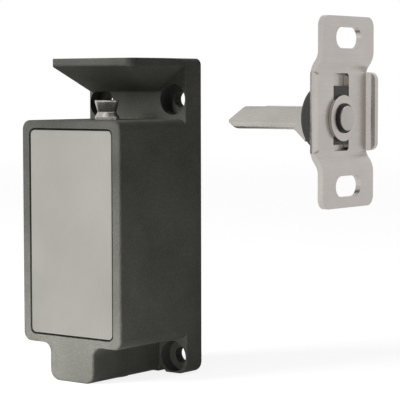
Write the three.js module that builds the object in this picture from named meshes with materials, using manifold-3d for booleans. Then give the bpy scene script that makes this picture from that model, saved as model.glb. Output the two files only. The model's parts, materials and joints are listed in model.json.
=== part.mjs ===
// An electromechanical cabinet lock and its striker, in millimetres.
// X runs across the lock, +Y points at the wall behind it and +Z is up.
// The origin lies on the mounting face, midway between the four fixing holes.

import * as THREE from 'three';
import { mergeVertices } from 'three/addons/utils/BufferGeometryUtils.js';
import Module from 'manifold-3d';

const wasm = await Module();
wasm.setup();

// Housing: a box on a thick back plate, with a hood over it and a lug under it
const LOCK_WIDTH = 35;
const PLATE_THICKNESS = 6.8;
const BOX_FOOT = 10;
const BOX_HEIGHT = 60.65;
const MOUTH_HEIGHT = 7.65;
const HOOD_ROOT = 9.1;
const HOOD_LIP = 2.1;
const HOOD_REACH = 26.6;
const HOOD_ROOT_WIDTH = 34;
const HOOD_TIP_WIDTH = 27.8;
const HOOD_FLARE_FOOT = 7.5;
const LUG_WIDTH = 15.6;
const WALL = 2.5;
const FRONT_WALL = 2.4;
const BOX_CORNER = 2.5;
const LUG_CORNER = 3;
const LUG_FILLET = 2.5;
const FOOT_CORNER = 3;
const TOP_CORNER = 1.8;
const CAVITY_CORNER = 1.2;
const FRONT_EDGE = 1.5;
const PLATE_EDGE = 0.5;
const LIP_CORNER = 0.8;
const NOTCH_WIDTH = 2.9;
const NOTCH_HEIGHT = 1.4;
const NOTCH_OUTWARD = 0.725;

// Fixing holes, counterbored for pan-head screws
const FIXING_BORE = 4.5;
const COUNTERBORE = 8.6;
const COUNTERBORE_DEPTH = 3.8;
const FIXING_RIM = 0.4;
const FIXING_OVER_BOX = 1.2;
const FIXING_NEAR_BOX = 0.05;

// Front plate, glued into a shallow recess
const FACE_WIDTH = 28.8;
const FACE_HEIGHT = 55.6;
const FACE_THICKNESS = 1.1;
const FACE_CORNER = 1.4;
const FACE_EDGE = 0.25;
const FACE_GAP = 0.4;
const GLUE_LINE = 0.1;

// Rear cover on a ledge, screwed to ribs that run along the side walls
const COVER_THICKNESS = 2;
const COVER_LEDGE = 1.2;
const COVER_GAP = 0.2;
const COVER_SCREW_THREAD = 2.5;
const COVER_SCREW_HEAD = 4.7;
const COVER_SCREW_HEAD_HEIGHT = 1.3;
const COVER_SCREW_LENGTH = 9;
const RIB_REACH = 4.6;
const RIB_HEIGHT = 5.2;
const RIB_GAP = 1;

// Latch, its bushing, stop ring and cam collar
const LATCH_DIAMETER = 6.7;
const LATCH_SETBACK = 15.5;
const LATCH_RISE = 5.4;
const LATCH_STROKE = 5.5;
const LATCH_WAIST = 4.9;
const LATCH_GROOVE_OVER_BOX = 2.05;
const LATCH_GROOVE_HEIGHT = 2.6;
const LATCH_EDGE = 0.4;
const BUSH_WALL = 1.2;
const BUSH_FLANGE_REACH = 1.6;
const BUSH_FLANGE_THICKNESS = 1.2;
const BUSH_SET_DOWN = 0.3;
const RING_THICKNESS = 0.8;
const RING_REACH = 1.9;
const RING_GROOVE_DEPTH = 0.7;
const RING_OPENING = Math.PI / 3;
const CAM_FOOT_WALL = 1.75;
const CAM_MARGIN = 1;
const CAM_TAPER = 0.2;
const STOP_GAP = 0.3;

// Return spring round the plunger
const SPRING_WIRE = 1;
const SPRING_LENGTH = 11.4;
const SPRING_TURNS = 5;
const SPRING_PLAY = 0.4;
const SPRING_SEAT_GAP = 0.1;

// Solenoid under the latch
const PLUNGER_DIAMETER = 6.6;
const PLUNGER_PLAY = 0.15;
const PLUNGER_AIR_GAP = 0.3;
const BOBBIN_WALL = 0.8;
const BOBBIN_FLANGE = 1.2;
const BOBBIN_RIM = 0.3;
const COIL_DEPTH = 2.6;
const FRAME_SHEET = 2;
const FRAME_WIDTH = 16;
const FRAME_HEIGHT = 27;
const POLE_HEIGHT = 6;
const POLE_RIVET = 4;
const TANG_THICKNESS = 2.4;
const TANG_WIDTH = 4.8;
const TANG_LENGTH = 7;
const PIN_DIAMETER = 1.6;
const PIN_INSET = 0.4;
const FRAME_SCREW_THREAD = 3;
const FRAME_SCREW_HEAD = 5.6;
const FRAME_SCREW_HEAD_HEIGHT = 1.5;
const FRAME_SCREW_SPAN = 14;
const FRAME_PAD_WIDTH = 8;

// Latch position switch, pressed sideways by the cam collar
const SWITCH_LENGTH = 12.8;
const SWITCH_HEIGHT = 4.4;
const SWITCH_THICKNESS = 6.4;
const SWITCH_EDGE = 0.3;
const SWITCH_SCREW_SPAN = 9.5;
const BUTTON_DIAMETER = 1.9;
const BUTTON_TIP_DIAMETER = 1;
const BUTTON_PROUD = 1;
const BUTTON_DEPTH = 1.6;
const BUTTON_OFFSET = 1.5;
const BUTTON_GAP = 0.15;
const TERMINAL_COUNT = 3;
const TERMINAL_PITCH = 4.4;
const TERMINAL_LENGTH = 1;
const TERMINAL_WIDTH = 2.4;
const TERMINAL_SHEET = 0.5;

// Circuit board behind the solenoid, with its terminal block and diode
const BOARD_THICKNESS = 1.6;
const BOARD_GAP = 1;
const BOARD_MARGIN = 0.6;
const BOARD_ROOM = 5.65;
const BLOCK_WIDTH = 10.5;
const BLOCK_HEIGHT = 8;
const BLOCK_WIRE_HOLE = 2.6;
const BLOCK_WIRE_PITCH = 5;
const BLOCK_WIRE_DEPTH = 5;
const BLOCK_CLEAR = 0.4;
const DIODE_DIAMETER = 2.7;
const DIODE_LENGTH = 5.2;
const DIODE_DROP = 5;

// Small pan-head screws of the board and the switch
const SMALL_SCREW_THREAD = 2;
const SMALL_SCREW_HEAD = 3.6;
const SMALL_SCREW_HEAD_HEIGHT = 1.2;
const SMALL_SCREW_GRIP = 5;

// Proportions that all these screws share: the cross recess and the pan head's crown
const RECESS_ARM_SHARE = 0.56;
const RECESS_BLADE_SHARE = 0.15;
const RECESS_DEPTH_SHARE = 0.65;
const PAN_CROWN_SHARE = 1 / 3;
const PAN_RIM_SHARE = 1 / 2;

// Cable grommet in the lug
const GROMMET_BORE = 6.4;
const GROMMET_WALL = 1.3;
const GROMMET_LENGTH = 7;
const GROMMET_FLANGE_REACH = 1.6;
const GROMMET_FLANGE_THICKNESS = 1.5;

// Striker bracket: two slotted ears beside a recessed middle with side lips
const BRACKET_WIDTH = 23.2;
const BRACKET_HEIGHT = 47.2;
const BRACKET_SHEET = 1.5;
const BRACKET_RECESS = 2.2;
const BRACKET_MIDDLE = 20.4;
const BRACKET_FOLD = 3.2;
const BRACKET_BEND = 3;
const LIP_BEND = 1.6;
const EAR_CORNER = 2.6;
const EAR_SLOT_LENGTH = 11.5;
const EAR_SLOT_WIDTH = 5.2;
const EAR_SLOT_SPAN = 36.6;
const LIP_HEIGHT = 19.8;
const LIP_INSET = 0.85;
const LIP_END_CORNER = 2;
const FLOAT_SLOT_WIDTH = 7;
const FLOAT_SLOT_HEIGHT = 19.2;
const FLOAT_SLOT_CORNER = 1;

// Striker bolt and what holds it in the bracket's tall slot
const BOLT_LENGTH = 23.9;
const BOLT_WIDTH = 11;
const BOLT_HEIGHT = 5.8;
const BOLT_NOSE_SLOPE = 5.5;
const BOLT_NOSE_FACE = 0.5;
const BOLT_NOSE_UNDER = 2.2;
const BOLT_NOSE_RISE = 1.8;
const BOLT_NOSE_CORNER = 0.6;
const BOLT_TOP_CORNER = 0.5;
const BOLT_UNDER_CORNER = 1.7;
const BOLT_FLARE_LENGTH = 3.2;
const BOLT_FLARE_DROP = 2.9;
const BOLT_WINDOW_SETBACK = 8.6;
const BOLT_WINDOW_PLAY = 0.3;
const BOLT_WINDOW_CORNER = 0.8;
const BOLT_FLOAT = 3;
const FLOAT_END_GAP = 0.15;
const CUSHION_DIAMETER = 16.2;
const CUSHION_THICKNESS = 4.65;
const CUSHION_ROUND = 1;
const SLIDE_PLATE_WIDTH = 12;
const SLIDE_PLATE_HEIGHT = 24;
const SLIDE_PLATE_SHEET = 0.8;
const SLIDE_PLATE_CORNER = 1.5;
const WASHER_DIAMETER = 11.5;
const WASHER_THICKNESS = 0.9;
const SLIDER_PAST_WASHER = 0.8;
const WASHER_EDGE = 0.2;
const LOCK_WASHER_DIAMETER = 7.4;
const LOCK_WASHER_THICKNESS = 0.45;
const BOLT_PIN_DIAMETER = 3.6;
const BOLT_PIN_HEAD = 6.2;
const BOLT_PIN_GRIP = 7;
const BOLT_PIN_EDGE = 0.25;
const BOLT_PIN_SET_BACK = 0.05;

// Where the striker stands when the door is open: clear of the lock's side
const STRIKER_AWAY = 60.65;
const BOLT_OVER_BOX = 1.1;

// Gaps shared by pieces that fit one another
const RUNNING_GAP = 0.08;
const PRESS_GAP = 0.05;
const THREAD_GAP = 0.1;
const FITTING_GAP = 0.2;

// Steps of round shapes, and the reach of a cutter past the face that it opens
const ROUND_STEPS = 24;
const SMALL_STEPS = 12;
const ARC_STEPS = 4;
const EDGE_STEPS = 3;
const SPRING_STEPS_PER_TURN = 8;
const SPRING_SIDES = 6;
const CUT_PAST = 1;
const WELD = 1e-4;

// The solenoid's radii, and the depth that the lock needs to hold it and the board
const PLUNGER_RADIUS = PLUNGER_DIAMETER / 2;
const BOBBIN_BORE = PLUNGER_RADIUS + PLUNGER_PLAY;
const BOBBIN_TUBE = BOBBIN_BORE + BOBBIN_WALL;
const COIL_RADIUS = BOBBIN_TUBE + COIL_DEPTH;
const BOBBIN_RADIUS = COIL_RADIUS + BOBBIN_RIM;
const FRAME_INSIDE = BOBBIN_RADIUS + FITTING_GAP;
const FRAME_HALF_DEPTH = FRAME_INSIDE + FRAME_SHEET;
const BOARD_STACK = BOARD_GAP + BOARD_THICKNESS + BOARD_ROOM;
const LOCK_DEPTH = LATCH_SETBACK + FRAME_HALF_DEPTH + BOARD_STACK + COVER_THICKNESS;

// Places worked out from the sizes; heights are taken from the foot of the back plate
const HALF_WIDTH = LOCK_WIDTH / 2;
const BOX_TOP = BOX_FOOT + BOX_HEIGHT;
const RAMP_FOOT = BOX_TOP + MOUTH_HEIGHT;
const PLATE_TOP = RAMP_FOOT + HOOD_ROOT;
const CAVITY_HALF_WIDTH = HALF_WIDTH - WALL;
const CAVITY_FOOT = BOX_FOOT + WALL;
const CAVITY_TOP = BOX_TOP - WALL;
const CAVITY_HEIGHT = CAVITY_TOP - CAVITY_FOOT;
const BOX_MIDDLE = BOX_FOOT + BOX_HEIGHT / 2;
const RECESS_FLOOR = -LOCK_DEPTH + FACE_THICKNESS + GLUE_LINE;
const CAVITY_FRONT = RECESS_FLOOR + FRONT_WALL;
const COVER_SEAT = -COVER_THICKNESS;

const FIXING_X = HALF_WIDTH - COUNTERBORE / 2 - FIXING_RIM;
const FIXING_LOW = COUNTERBORE / 2 + FIXING_RIM;
const FIXING_HIGH = BOX_TOP + FIXING_OVER_BOX + COUNTERBORE / 2;
const FIXING_HOODED = BOX_TOP + FIXING_NEAR_BOX + COUNTERBORE / 2;
const FIXING_MIDDLE = (FIXING_LOW + FIXING_HIGH) / 2;

const LATCH_Y = -LOCK_DEPTH + LATCH_SETBACK;
const LATCH_RADIUS = LATCH_DIAMETER / 2;
const LATCH_TOP = BOX_TOP + LATCH_RISE;
const BUSH_RADIUS = LATCH_RADIUS + RUNNING_GAP + BUSH_WALL;
const BUSH_FOOT = CAVITY_TOP - BUSH_FLANGE_THICKNESS;
const RING_TOP = BUSH_FOOT - STOP_GAP;
const CAM_TOP = RING_TOP - RING_THICKNESS;
const CAM_HEIGHT = LATCH_STROKE + 2 * CAM_MARGIN;
const CAM_FOOT = CAM_TOP - CAM_HEIGHT;
const CAM_FOOT_RADIUS = LATCH_RADIUS + CAM_FOOT_WALL;
const ROD_FOOT = CAM_FOOT - FITTING_GAP;

const FRAME_TOP = CAM_FOOT - SPRING_LENGTH;
const FRAME_FOOT = FRAME_TOP - FRAME_HEIGHT;
const POLE_TOP = FRAME_FOOT + FRAME_SHEET + POLE_HEIGHT;
const PLUNGER_FOOT = POLE_TOP + LATCH_STROKE + PLUNGER_AIR_GAP;
const PLUNGER_TOP = ROD_FOOT - FITTING_GAP;
const TANG_FOOT = ROD_FOOT - TANG_LENGTH;
const PIN_Z = (PLUNGER_TOP + TANG_FOOT) / 2;
const FRAME_MIDDLE = (FRAME_TOP + FRAME_FOOT) / 2;

const BUTTON_TRAVEL = CAM_TAPER * LATCH_STROKE;
const BUTTON_Z = CAM_FOOT + CAM_MARGIN;
const BUTTON_TIP = CAM_FOOT_RADIUS + CAM_TAPER * CAM_MARGIN + BUTTON_GAP;
const SWITCH_FACE = BUTTON_TIP + BUTTON_TRAVEL + BUTTON_PROUD;
const SWITCH_Z = BUTTON_Z + BUTTON_OFFSET;
const SWITCH_FOOT = SWITCH_Z - SWITCH_LENGTH / 2;
const SWITCH_FRONT = LATCH_Y - SWITCH_THICKNESS / 2;
const SWITCH_BACK = LATCH_Y + SWITCH_THICKNESS / 2;
const SWITCH_SCREW_X = SWITCH_FACE + SWITCH_HEIGHT / 2;

const RIB_X = CAVITY_HALF_WIDTH - RIB_REACH / 2;
const COVER_SCREW_LOW = CAVITY_FOOT + RIB_HEIGHT / 2;
const COVER_SCREW_HIGH = SWITCH_FOOT - RIB_GAP - RIB_HEIGHT / 2;
const BOARD_FRONT = LATCH_Y + FRAME_HALF_DEPTH + BOARD_GAP;
const BOARD_BACK = BOARD_FRONT + BOARD_THICKNESS;
const BOARD_FOOT = COVER_SCREW_LOW + RIB_HEIGHT / 2 + BOARD_MARGIN;
const BOARD_TOP = COVER_SCREW_HIGH - RIB_HEIGHT / 2 - BOARD_MARGIN;
const BOARD_MIDDLE = (BOARD_FOOT + BOARD_TOP) / 2;

const GROMMET_RADIUS = GROMMET_BORE / 2 + GROMMET_WALL;
const GROMMET_FLANGE_RADIUS = GROMMET_RADIUS + GROMMET_FLANGE_REACH;

// The striker's own places: its X is taken from the ears' door face, towards the lock
const MIDDLE_FACE = -BRACKET_RECESS;
const MIDDLE_BACK = MIDDLE_FACE - BRACKET_SHEET;
const SLIDE_PLATE_FACE = MIDDLE_BACK - PRESS_GAP;
const CUSHION_BACK = SLIDE_PLATE_FACE - SLIDE_PLATE_SHEET;
const BOLT_BASE = CUSHION_BACK - CUSHION_THICKNESS;
const BOLT_TIP = BOLT_BASE - BOLT_LENGTH;
const WASHER_BACK = MIDDLE_FACE + PRESS_GAP;
const WASHER_FACE = WASHER_BACK + WASHER_THICKNESS;
const LOCK_WASHER_FACE = WASHER_FACE + LOCK_WASHER_THICKNESS;
const BOLT_PIN_BORE = BOLT_PIN_DIAMETER / 2 + PRESS_GAP;
const SLIDER_RISE = (FLOAT_SLOT_HEIGHT - BOLT_FLOAT) / 2 - FLOAT_END_GAP;
const SLIDER_DROP = WASHER_DIAMETER / 2 + SLIDER_PAST_WASHER;
const SLIDER_WIDTH = FLOAT_SLOT_WIDTH - 2 * FLOAT_END_GAP;

const X_AXIS = new THREE.Vector3(1, 0, 0);
const Y_AXIS = new THREE.Vector3(0, 1, 0);
const Z_AXIS = new THREE.Vector3(0, 0, 1);
const TOWARDS_FRONT = Y_AXIS.clone().negate();

// The plane that a prism's outline is drawn in, and the way that it is drawn out
const PRISM_FRAMES = {
  x: new THREE.Matrix4().makeBasis(Y_AXIS, Z_AXIS, X_AXIS),
  y: new THREE.Matrix4().makeBasis(X_AXIS, Z_AXIS, TOWARDS_FRONT),
  z: new THREE.Matrix4(),
};

// Solids: geometry goes to the boolean library for joins and cuts, and comes back

function signedVolume(positions, corners) {
  const [a, b, c] = [new THREE.Vector3(), new THREE.Vector3(), new THREE.Vector3()];
  let volume = 0;
  for (let i = 0; i < corners.length; i += 3) {
    a.fromBufferAttribute(positions, corners[i]);
    b.fromBufferAttribute(positions, corners[i + 1]);
    c.fromBufferAttribute(positions, corners[i + 2]);
    volume += a.dot(b.cross(c));
  }
  return volume;
}

function toManifold(geometry) {
  const bare = geometry.clone();
  bare.deleteAttribute('normal');
  bare.deleteAttribute('uv');
  const merged = mergeVertices(bare, WELD);
  const corners = merged.index.array;
  const kept = [];
  for (let i = 0; i < corners.length; i += 3) {
    const [a, b, c] = corners.slice(i, i + 3);
    if (a !== b && b !== c && c !== a) kept.push(a, b, c);
  }
  const { position } = merged.attributes;
  if (signedVolume(position, kept) < 0) kept.reverse();
  const vertProperties = new Float32Array(position.array);
  const triVerts = new Uint32Array(kept);
  return new wasm.Manifold(new wasm.Mesh({ numProp: 3, vertProperties, triVerts }));
}

function toGeometry(manifold) {
  const mesh = manifold.getMesh();
  const geometry = new THREE.BufferGeometry();
  geometry.setAttribute('position', new THREE.BufferAttribute(mesh.vertProperties, 3));
  geometry.setIndex(new THREE.BufferAttribute(mesh.triVerts, 1));
  geometry.computeVertexNormals();
  return geometry;
}

function join(first, ...others) {
  return toGeometry(others.reduce((sum, other) => sum.add(toManifold(other)), toManifold(first)));
}

function cut(first, ...others) {
  return toGeometry(others.reduce((rest, other) => rest.subtract(toManifold(other)), toManifold(first)));
}

function meet(first, other) {
  return toGeometry(toManifold(first).intersect(toManifold(other)));
}

// Shapes

// An outline through corners [x, y, radius], with an arc at each corner that has a radius
function outline(corners) {
  const shape = new THREE.Shape();
  corners.forEach(([x, y, radius = 0], i) => {
    if (radius === 0) {
      const draw = i === 0 ? 'moveTo' : 'lineTo';
      shape[draw](x, y);
      return;
    }
    const corner = new THREE.Vector2(x, y);
    const before = new THREE.Vector2(...corners.at(i - 1)).sub(corner).normalize();
    const after = new THREE.Vector2(...corners[(i + 1) % corners.length]).sub(corner).normalize();
    const half = before.angleTo(after) / 2;
    const reach = radius / Math.tan(half);
    const inward = before.clone().add(after).normalize();
    const centre = corner.clone().addScaledVector(inward, radius / Math.sin(half));
    const start = corner.clone().addScaledVector(before, reach).sub(centre);
    const end = corner.clone().addScaledVector(after, reach).sub(centre);
    const clockwise = before.cross(after) > 0;
    shape.absarc(centre.x, centre.y, radius, start.angle(), end.angle(), clockwise);
  });
  return shape;
}

function rectangle(width, height, radius = 0, x = 0, y = 0) {
  const [left, right] = [x - width / 2, x + width / 2];
  const [low, high] = [y - height / 2, y + height / 2];
  return outline([[left, low, radius], [right, low, radius], [right, high, radius], [left, high, radius]]);
}

// An outline drawn out along an axis, with both rims rounded by edge
function prism(axis, shape, from, to, edge = 0) {
  const geometry = new THREE.ExtrudeGeometry(shape, {
    depth: to - from - 2 * edge,
    curveSegments: ARC_STEPS,
    bevelEnabled: edge > 0,
    bevelThickness: edge,
    bevelSize: edge,
    bevelOffset: -edge,
    bevelSegments: EDGE_STEPS,
  });
  geometry.translate(0, 0, edge);
  geometry.applyMatrix4(PRISM_FRAMES[axis]);
  const start = { x: [from, 0, 0], y: [0, to, 0], z: [0, 0, from] }[axis];
  return geometry.translate(...start);
}

// A profile of [radius, place along the axis] turned about an axis through a point
function turned(axis, profile, { x = 0, y = 0, z = 0, steps = ROUND_STEPS } = {}) {
  const geometry = new THREE.LatheGeometry(profile.map((point) => new THREE.Vector2(...point)), steps);
  if (axis === 'x') geometry.rotateZ(-Math.PI / 2);
  if (axis === 'z') geometry.rotateX(Math.PI / 2);
  return geometry.translate(x, y, z);
}

function shaft(axis, radius, from, to, place = {}) {
  return turned(axis, [[0, from], [radius, from], [radius, to], [0, to]], place);
}

// The corner radius of a faceted hole whose flats touch a circle of this radius
function around(radius, steps = ROUND_STEPS) {
  return radius / Math.cos(Math.PI / steps);
}

function bore(axis, radius, from, to, place = {}) {
  return shaft(axis, around(radius, place.steps), from, to, place);
}

// A turned ring: its profile closes on itself round a bore
function ring(axis, profile, place = {}) {
  return turned(axis, [...profile, profile[0]], place);
}

function washer(axis, innerRadius, outerRadius, from, to, place = {}) {
  const inner = around(innerRadius, place.steps);
  return ring(axis, [[inner, from], [outerRadius, from], [outerRadius, to], [inner, to]], place);
}

// Finishes

function finish(color, roughness, metalness) {
  return new THREE.MeshStandardMaterial({ color, roughness, metalness });
}

const POWDER_COAT = finish(0x4d4c46, 0.75, 0.1);
const BRUSHED_STAINLESS = finish(0xbab8b1, 0.4, 0.9);
const STEEL = finish(0xb4b0a8, 0.35, 0.95);
const POLISHED_STEEL = finish(0xc9c6c0, 0.2, 1);
const BLACK_STEEL = finish(0x2b2a28, 0.5, 0.7);
const BRONZE = finish(0xb08d57, 0.4, 0.9);
const COPPER = finish(0xa5582f, 0.45, 0.8);
const BLACK_PLASTIC = finish(0x24241f, 0.6, 0);
const WHITE_PLASTIC = finish(0xe3e0d6, 0.6, 0);
const GREEN_PLASTIC = finish(0x3f7a4a, 0.6, 0);
const BOARD_GREEN = finish(0x1f5135, 0.5, 0);
const RUBBER = finish(0x2f2d29, 0.85, 0);

function piece(group, name, geometry, material) {
  const mesh = new THREE.Mesh(toGeometry(toManifold(geometry)), material);
  mesh.name = name;
  group.add(mesh);
  return mesh;
}

// Screws stand with the top of the head at Y = 0 and the shank towards -Y

function crossRecess(headDiameter, depth) {
  const arm = headDiameter * RECESS_ARM_SHARE;
  const blade = headDiameter * RECESS_BLADE_SHARE;
  const across = prism('y', rectangle(arm, blade), -depth, CUT_PAST);
  const upright = prism('y', rectangle(blade, arm), -depth, CUT_PAST);
  return join(across, upright);
}

function flatHeadScrew(thread, head, headHeight, length) {
  const profile = [[0, -length], [thread / 2, -length], [thread / 2, -headHeight], [head / 2, 0], [0, 0]];
  const blank = turned('y', profile, { steps: SMALL_STEPS });
  return cut(blank, crossRecess(head, headHeight * RECESS_DEPTH_SHARE));
}

function flatHeadHole(thread, head, headHeight, length) {
  const shank = around(thread / 2 + THREAD_GAP, SMALL_STEPS);
  const rim = around(head / 2 + THREAD_GAP, SMALL_STEPS);
  const seat = headHeight + THREAD_GAP;
  const profile = [[0, -length], [shank, -length], [shank, -seat], [rim, 0], [rim, CUT_PAST], [0, CUT_PAST]];
  return turned('y', profile, { steps: SMALL_STEPS });
}

function panHeadScrew(thread, head, headHeight, length) {
  const shoulder = -headHeight;
  const foot = shoulder - length;
  const crown = head / 2 - headHeight * PAN_CROWN_SHARE;
  const profile = [
    [0, foot], [thread / 2, foot], [thread / 2, shoulder], [head / 2, shoulder],
    [head / 2, shoulder * PAN_RIM_SHARE], [crown, 0], [0, 0],
  ];
  const blank = turned('y', profile, { steps: SMALL_STEPS });
  return cut(blank, crossRecess(head, headHeight * RECESS_DEPTH_SHARE));
}

// Lock body

function boxOutline() {
  const half = LUG_WIDTH / 2;
  return outline([
    [-half, 0, LUG_CORNER], [half, 0, LUG_CORNER], [half, BOX_FOOT, LUG_FILLET],
    [HALF_WIDTH, BOX_FOOT, BOX_CORNER], [HALF_WIDTH, BOX_TOP, BOX_CORNER],
    [-HALF_WIDTH, BOX_TOP, BOX_CORNER], [-HALF_WIDTH, BOX_FOOT, BOX_CORNER],
    [-half, BOX_FOOT, LUG_FILLET],
  ]);
}

// The back plate, with a V-notch in its foot beside each side of the lug
function plateOutline() {
  const notchMiddle = LUG_WIDTH / 2 + NOTCH_OUTWARD;
  const [near, far] = [notchMiddle - NOTCH_WIDTH / 2, notchMiddle + NOTCH_WIDTH / 2];
  return outline([
    [-far, 0], [-notchMiddle, NOTCH_HEIGHT], [-near, 0],
    [near, 0], [notchMiddle, NOTCH_HEIGHT], [far, 0],
    [HALF_WIDTH, 0, FOOT_CORNER], [HALF_WIDTH, PLATE_TOP, TOP_CORNER],
    [-HALF_WIDTH, PLATE_TOP, TOP_CORNER], [-HALF_WIDTH, 0, FOOT_CORNER],
  ]);
}

function hoodOutline() {
  return outline([
    [0, RAMP_FOOT], [0, PLATE_TOP],
    [-HOOD_REACH, PLATE_TOP, LIP_CORNER], [-HOOD_REACH, PLATE_TOP - HOOD_LIP, LIP_CORNER],
    [-PLATE_THICKNESS, RAMP_FOOT],
  ]);
}

// The hood from above, narrower at its lip than at the plate
function hoodPlan() {
  const [root, tip] = [HOOD_ROOT_WIDTH / 2, HOOD_TIP_WIDTH / 2];
  return outline([
    [-root, -PLATE_EDGE], [-root, -PLATE_THICKNESS], [-tip, -HOOD_REACH, LIP_CORNER],
    [tip, -HOOD_REACH, LIP_CORNER], [root, -PLATE_THICKNESS], [root, -PLATE_EDGE],
  ]);
}

// What bevels the hood's underside up to its lip on the side that the bolt comes from
function hoodFlare() {
  const root = HOOD_ROOT_WIDTH / 2;
  const rise = PLATE_TOP - HOOD_LIP - RAMP_FOOT;
  const run = root - HOOD_FLARE_FOOT;
  const taper = Math.atan2(root - HOOD_TIP_WIDTH / 2, HOOD_REACH - PLATE_THICKNESS);
  const low = RAMP_FOOT - MOUTH_HEIGHT;
  const below = outline([
    [-run, low], [run, low], [run, RAMP_FOOT + 2 * rise], [-run, RAMP_FOOT],
  ]);
  const wedge = prism('y', below, -HOOD_REACH, PLATE_THICKNESS);
  return wedge.rotateZ(-taper).translate(root, -PLATE_THICKNESS, 0);
}

function hood() {
  const roof = prism('x', hoodOutline(), -HALF_WIDTH, HALF_WIDTH);
  const plan = prism('z', hoodPlan(), RAMP_FOOT - CUT_PAST, PLATE_TOP + CUT_PAST);
  const bound = prism('y', plateOutline(), -HOOD_REACH - CUT_PAST, -PLATE_EDGE);
  return cut(meet(meet(roof, plan), bound), hoodFlare());
}

function ribs() {
  const overlap = CUT_PAST;
  const shapes = [];
  for (const side of [-1, 1]) {
    for (const [z, top] of [
      [COVER_SCREW_LOW, COVER_SEAT], [COVER_SCREW_HIGH, COVER_SEAT], [BOARD_MIDDLE, BOARD_FRONT],
    ]) {
      const section = rectangle(RIB_REACH + overlap, RIB_HEIGHT, 0, side * (RIB_X + overlap / 2), z);
      shapes.push(prism('y', section, CAVITY_FRONT - overlap, top));
    }
  }
  return shapes;
}

// Pads on the front wall: one under the switch and one under the solenoid's frame
function pads() {
  const overlap = CUT_PAST;
  const switchWidth = CAVITY_HALF_WIDTH + overlap - SWITCH_FACE;
  const switchX = SWITCH_FACE + switchWidth / 2;
  const switchPad = rectangle(switchWidth, SWITCH_LENGTH, 0, switchX, SWITCH_Z);
  const framePad = rectangle(FRAME_PAD_WIDTH, FRAME_HEIGHT, 0, 0, FRAME_MIDDLE);
  return [
    prism('y', switchPad, CAVITY_FRONT - overlap, SWITCH_FRONT),
    prism('y', framePad, CAVITY_FRONT - overlap, LATCH_Y - FRAME_HALF_DEPTH),
  ];
}

function fixingHole(x, z) {
  const floor = -PLATE_THICKNESS + COUNTERBORE_DEPTH;
  const start = -PLATE_THICKNESS - CUT_PAST;
  const wide = around(COUNTERBORE / 2);
  const narrow = around(FIXING_BORE / 2);
  const profile = [
    [0, start], [wide, start], [wide, floor], [narrow, floor], [narrow, CUT_PAST], [0, CUT_PAST],
  ];
  return turned('y', profile, { x, z });
}

// Under the hood's closed side the counterbore ends at the hood's root
function hoodedFixingHole(x, z) {
  const below = rectangle(2 * COUNTERBORE, 2 * COUNTERBORE, 0, x, RAMP_FOOT - COUNTERBORE);
  return meet(fixingHole(x, z), prism('y', below, -2 * PLATE_THICKNESS, 2 * CUT_PAST));
}

function grommetHole() {
  const hole = around(GROMMET_RADIUS + PRESS_GAP);
  const mouth = around(GROMMET_FLANGE_RADIUS + PRESS_GAP);
  const top = CAVITY_FOOT + CUT_PAST;
  const profile = [
    [0, -CUT_PAST], [mouth, -CUT_PAST], [mouth, GROMMET_FLANGE_THICKNESS],
    [hole, GROMMET_FLANGE_THICKNESS], [hole, top], [0, top],
  ];
  return turned('z', profile, { y: LATCH_Y });
}

const FIXING_PLACES = [[-FIXING_X, FIXING_LOW], [FIXING_X, FIXING_LOW], [FIXING_X, FIXING_HIGH]];
const COVER_SCREW_PLACES = [-1, 1].flatMap((side) => [
  [side * RIB_X, COVER_SCREW_LOW], [side * RIB_X, COVER_SCREW_HIGH],
]);
const BOARD_SCREW_PLACES = [-1, 1].map((side) => [side * RIB_X, BOARD_MIDDLE]);
const SWITCH_SCREW_PLACES = [-1, 1].map((end) => [SWITCH_SCREW_X, SWITCH_Z + end * SWITCH_SCREW_SPAN / 2]);
const FRAME_SCREW_PLACES = [-1, 1].map((end) => [0, FRAME_MIDDLE + end * FRAME_SCREW_SPAN / 2]);

function screwHoles(places, thread, from, to) {
  const radius = thread / 2 + THREAD_GAP;
  return places.map(([x, z]) => bore('y', radius, from, to, { x, z, steps: SMALL_STEPS }));
}

function frameScrewHole(x, z) {
  const length = LATCH_Y - FRAME_HALF_DEPTH - RECESS_FLOOR + CUT_PAST;
  const hole = flatHeadHole(FRAME_SCREW_THREAD, FRAME_SCREW_HEAD, FRAME_SCREW_HEAD_HEIGHT, length);
  return hole.rotateZ(Math.PI).translate(x, RECESS_FLOOR, z);
}

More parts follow.
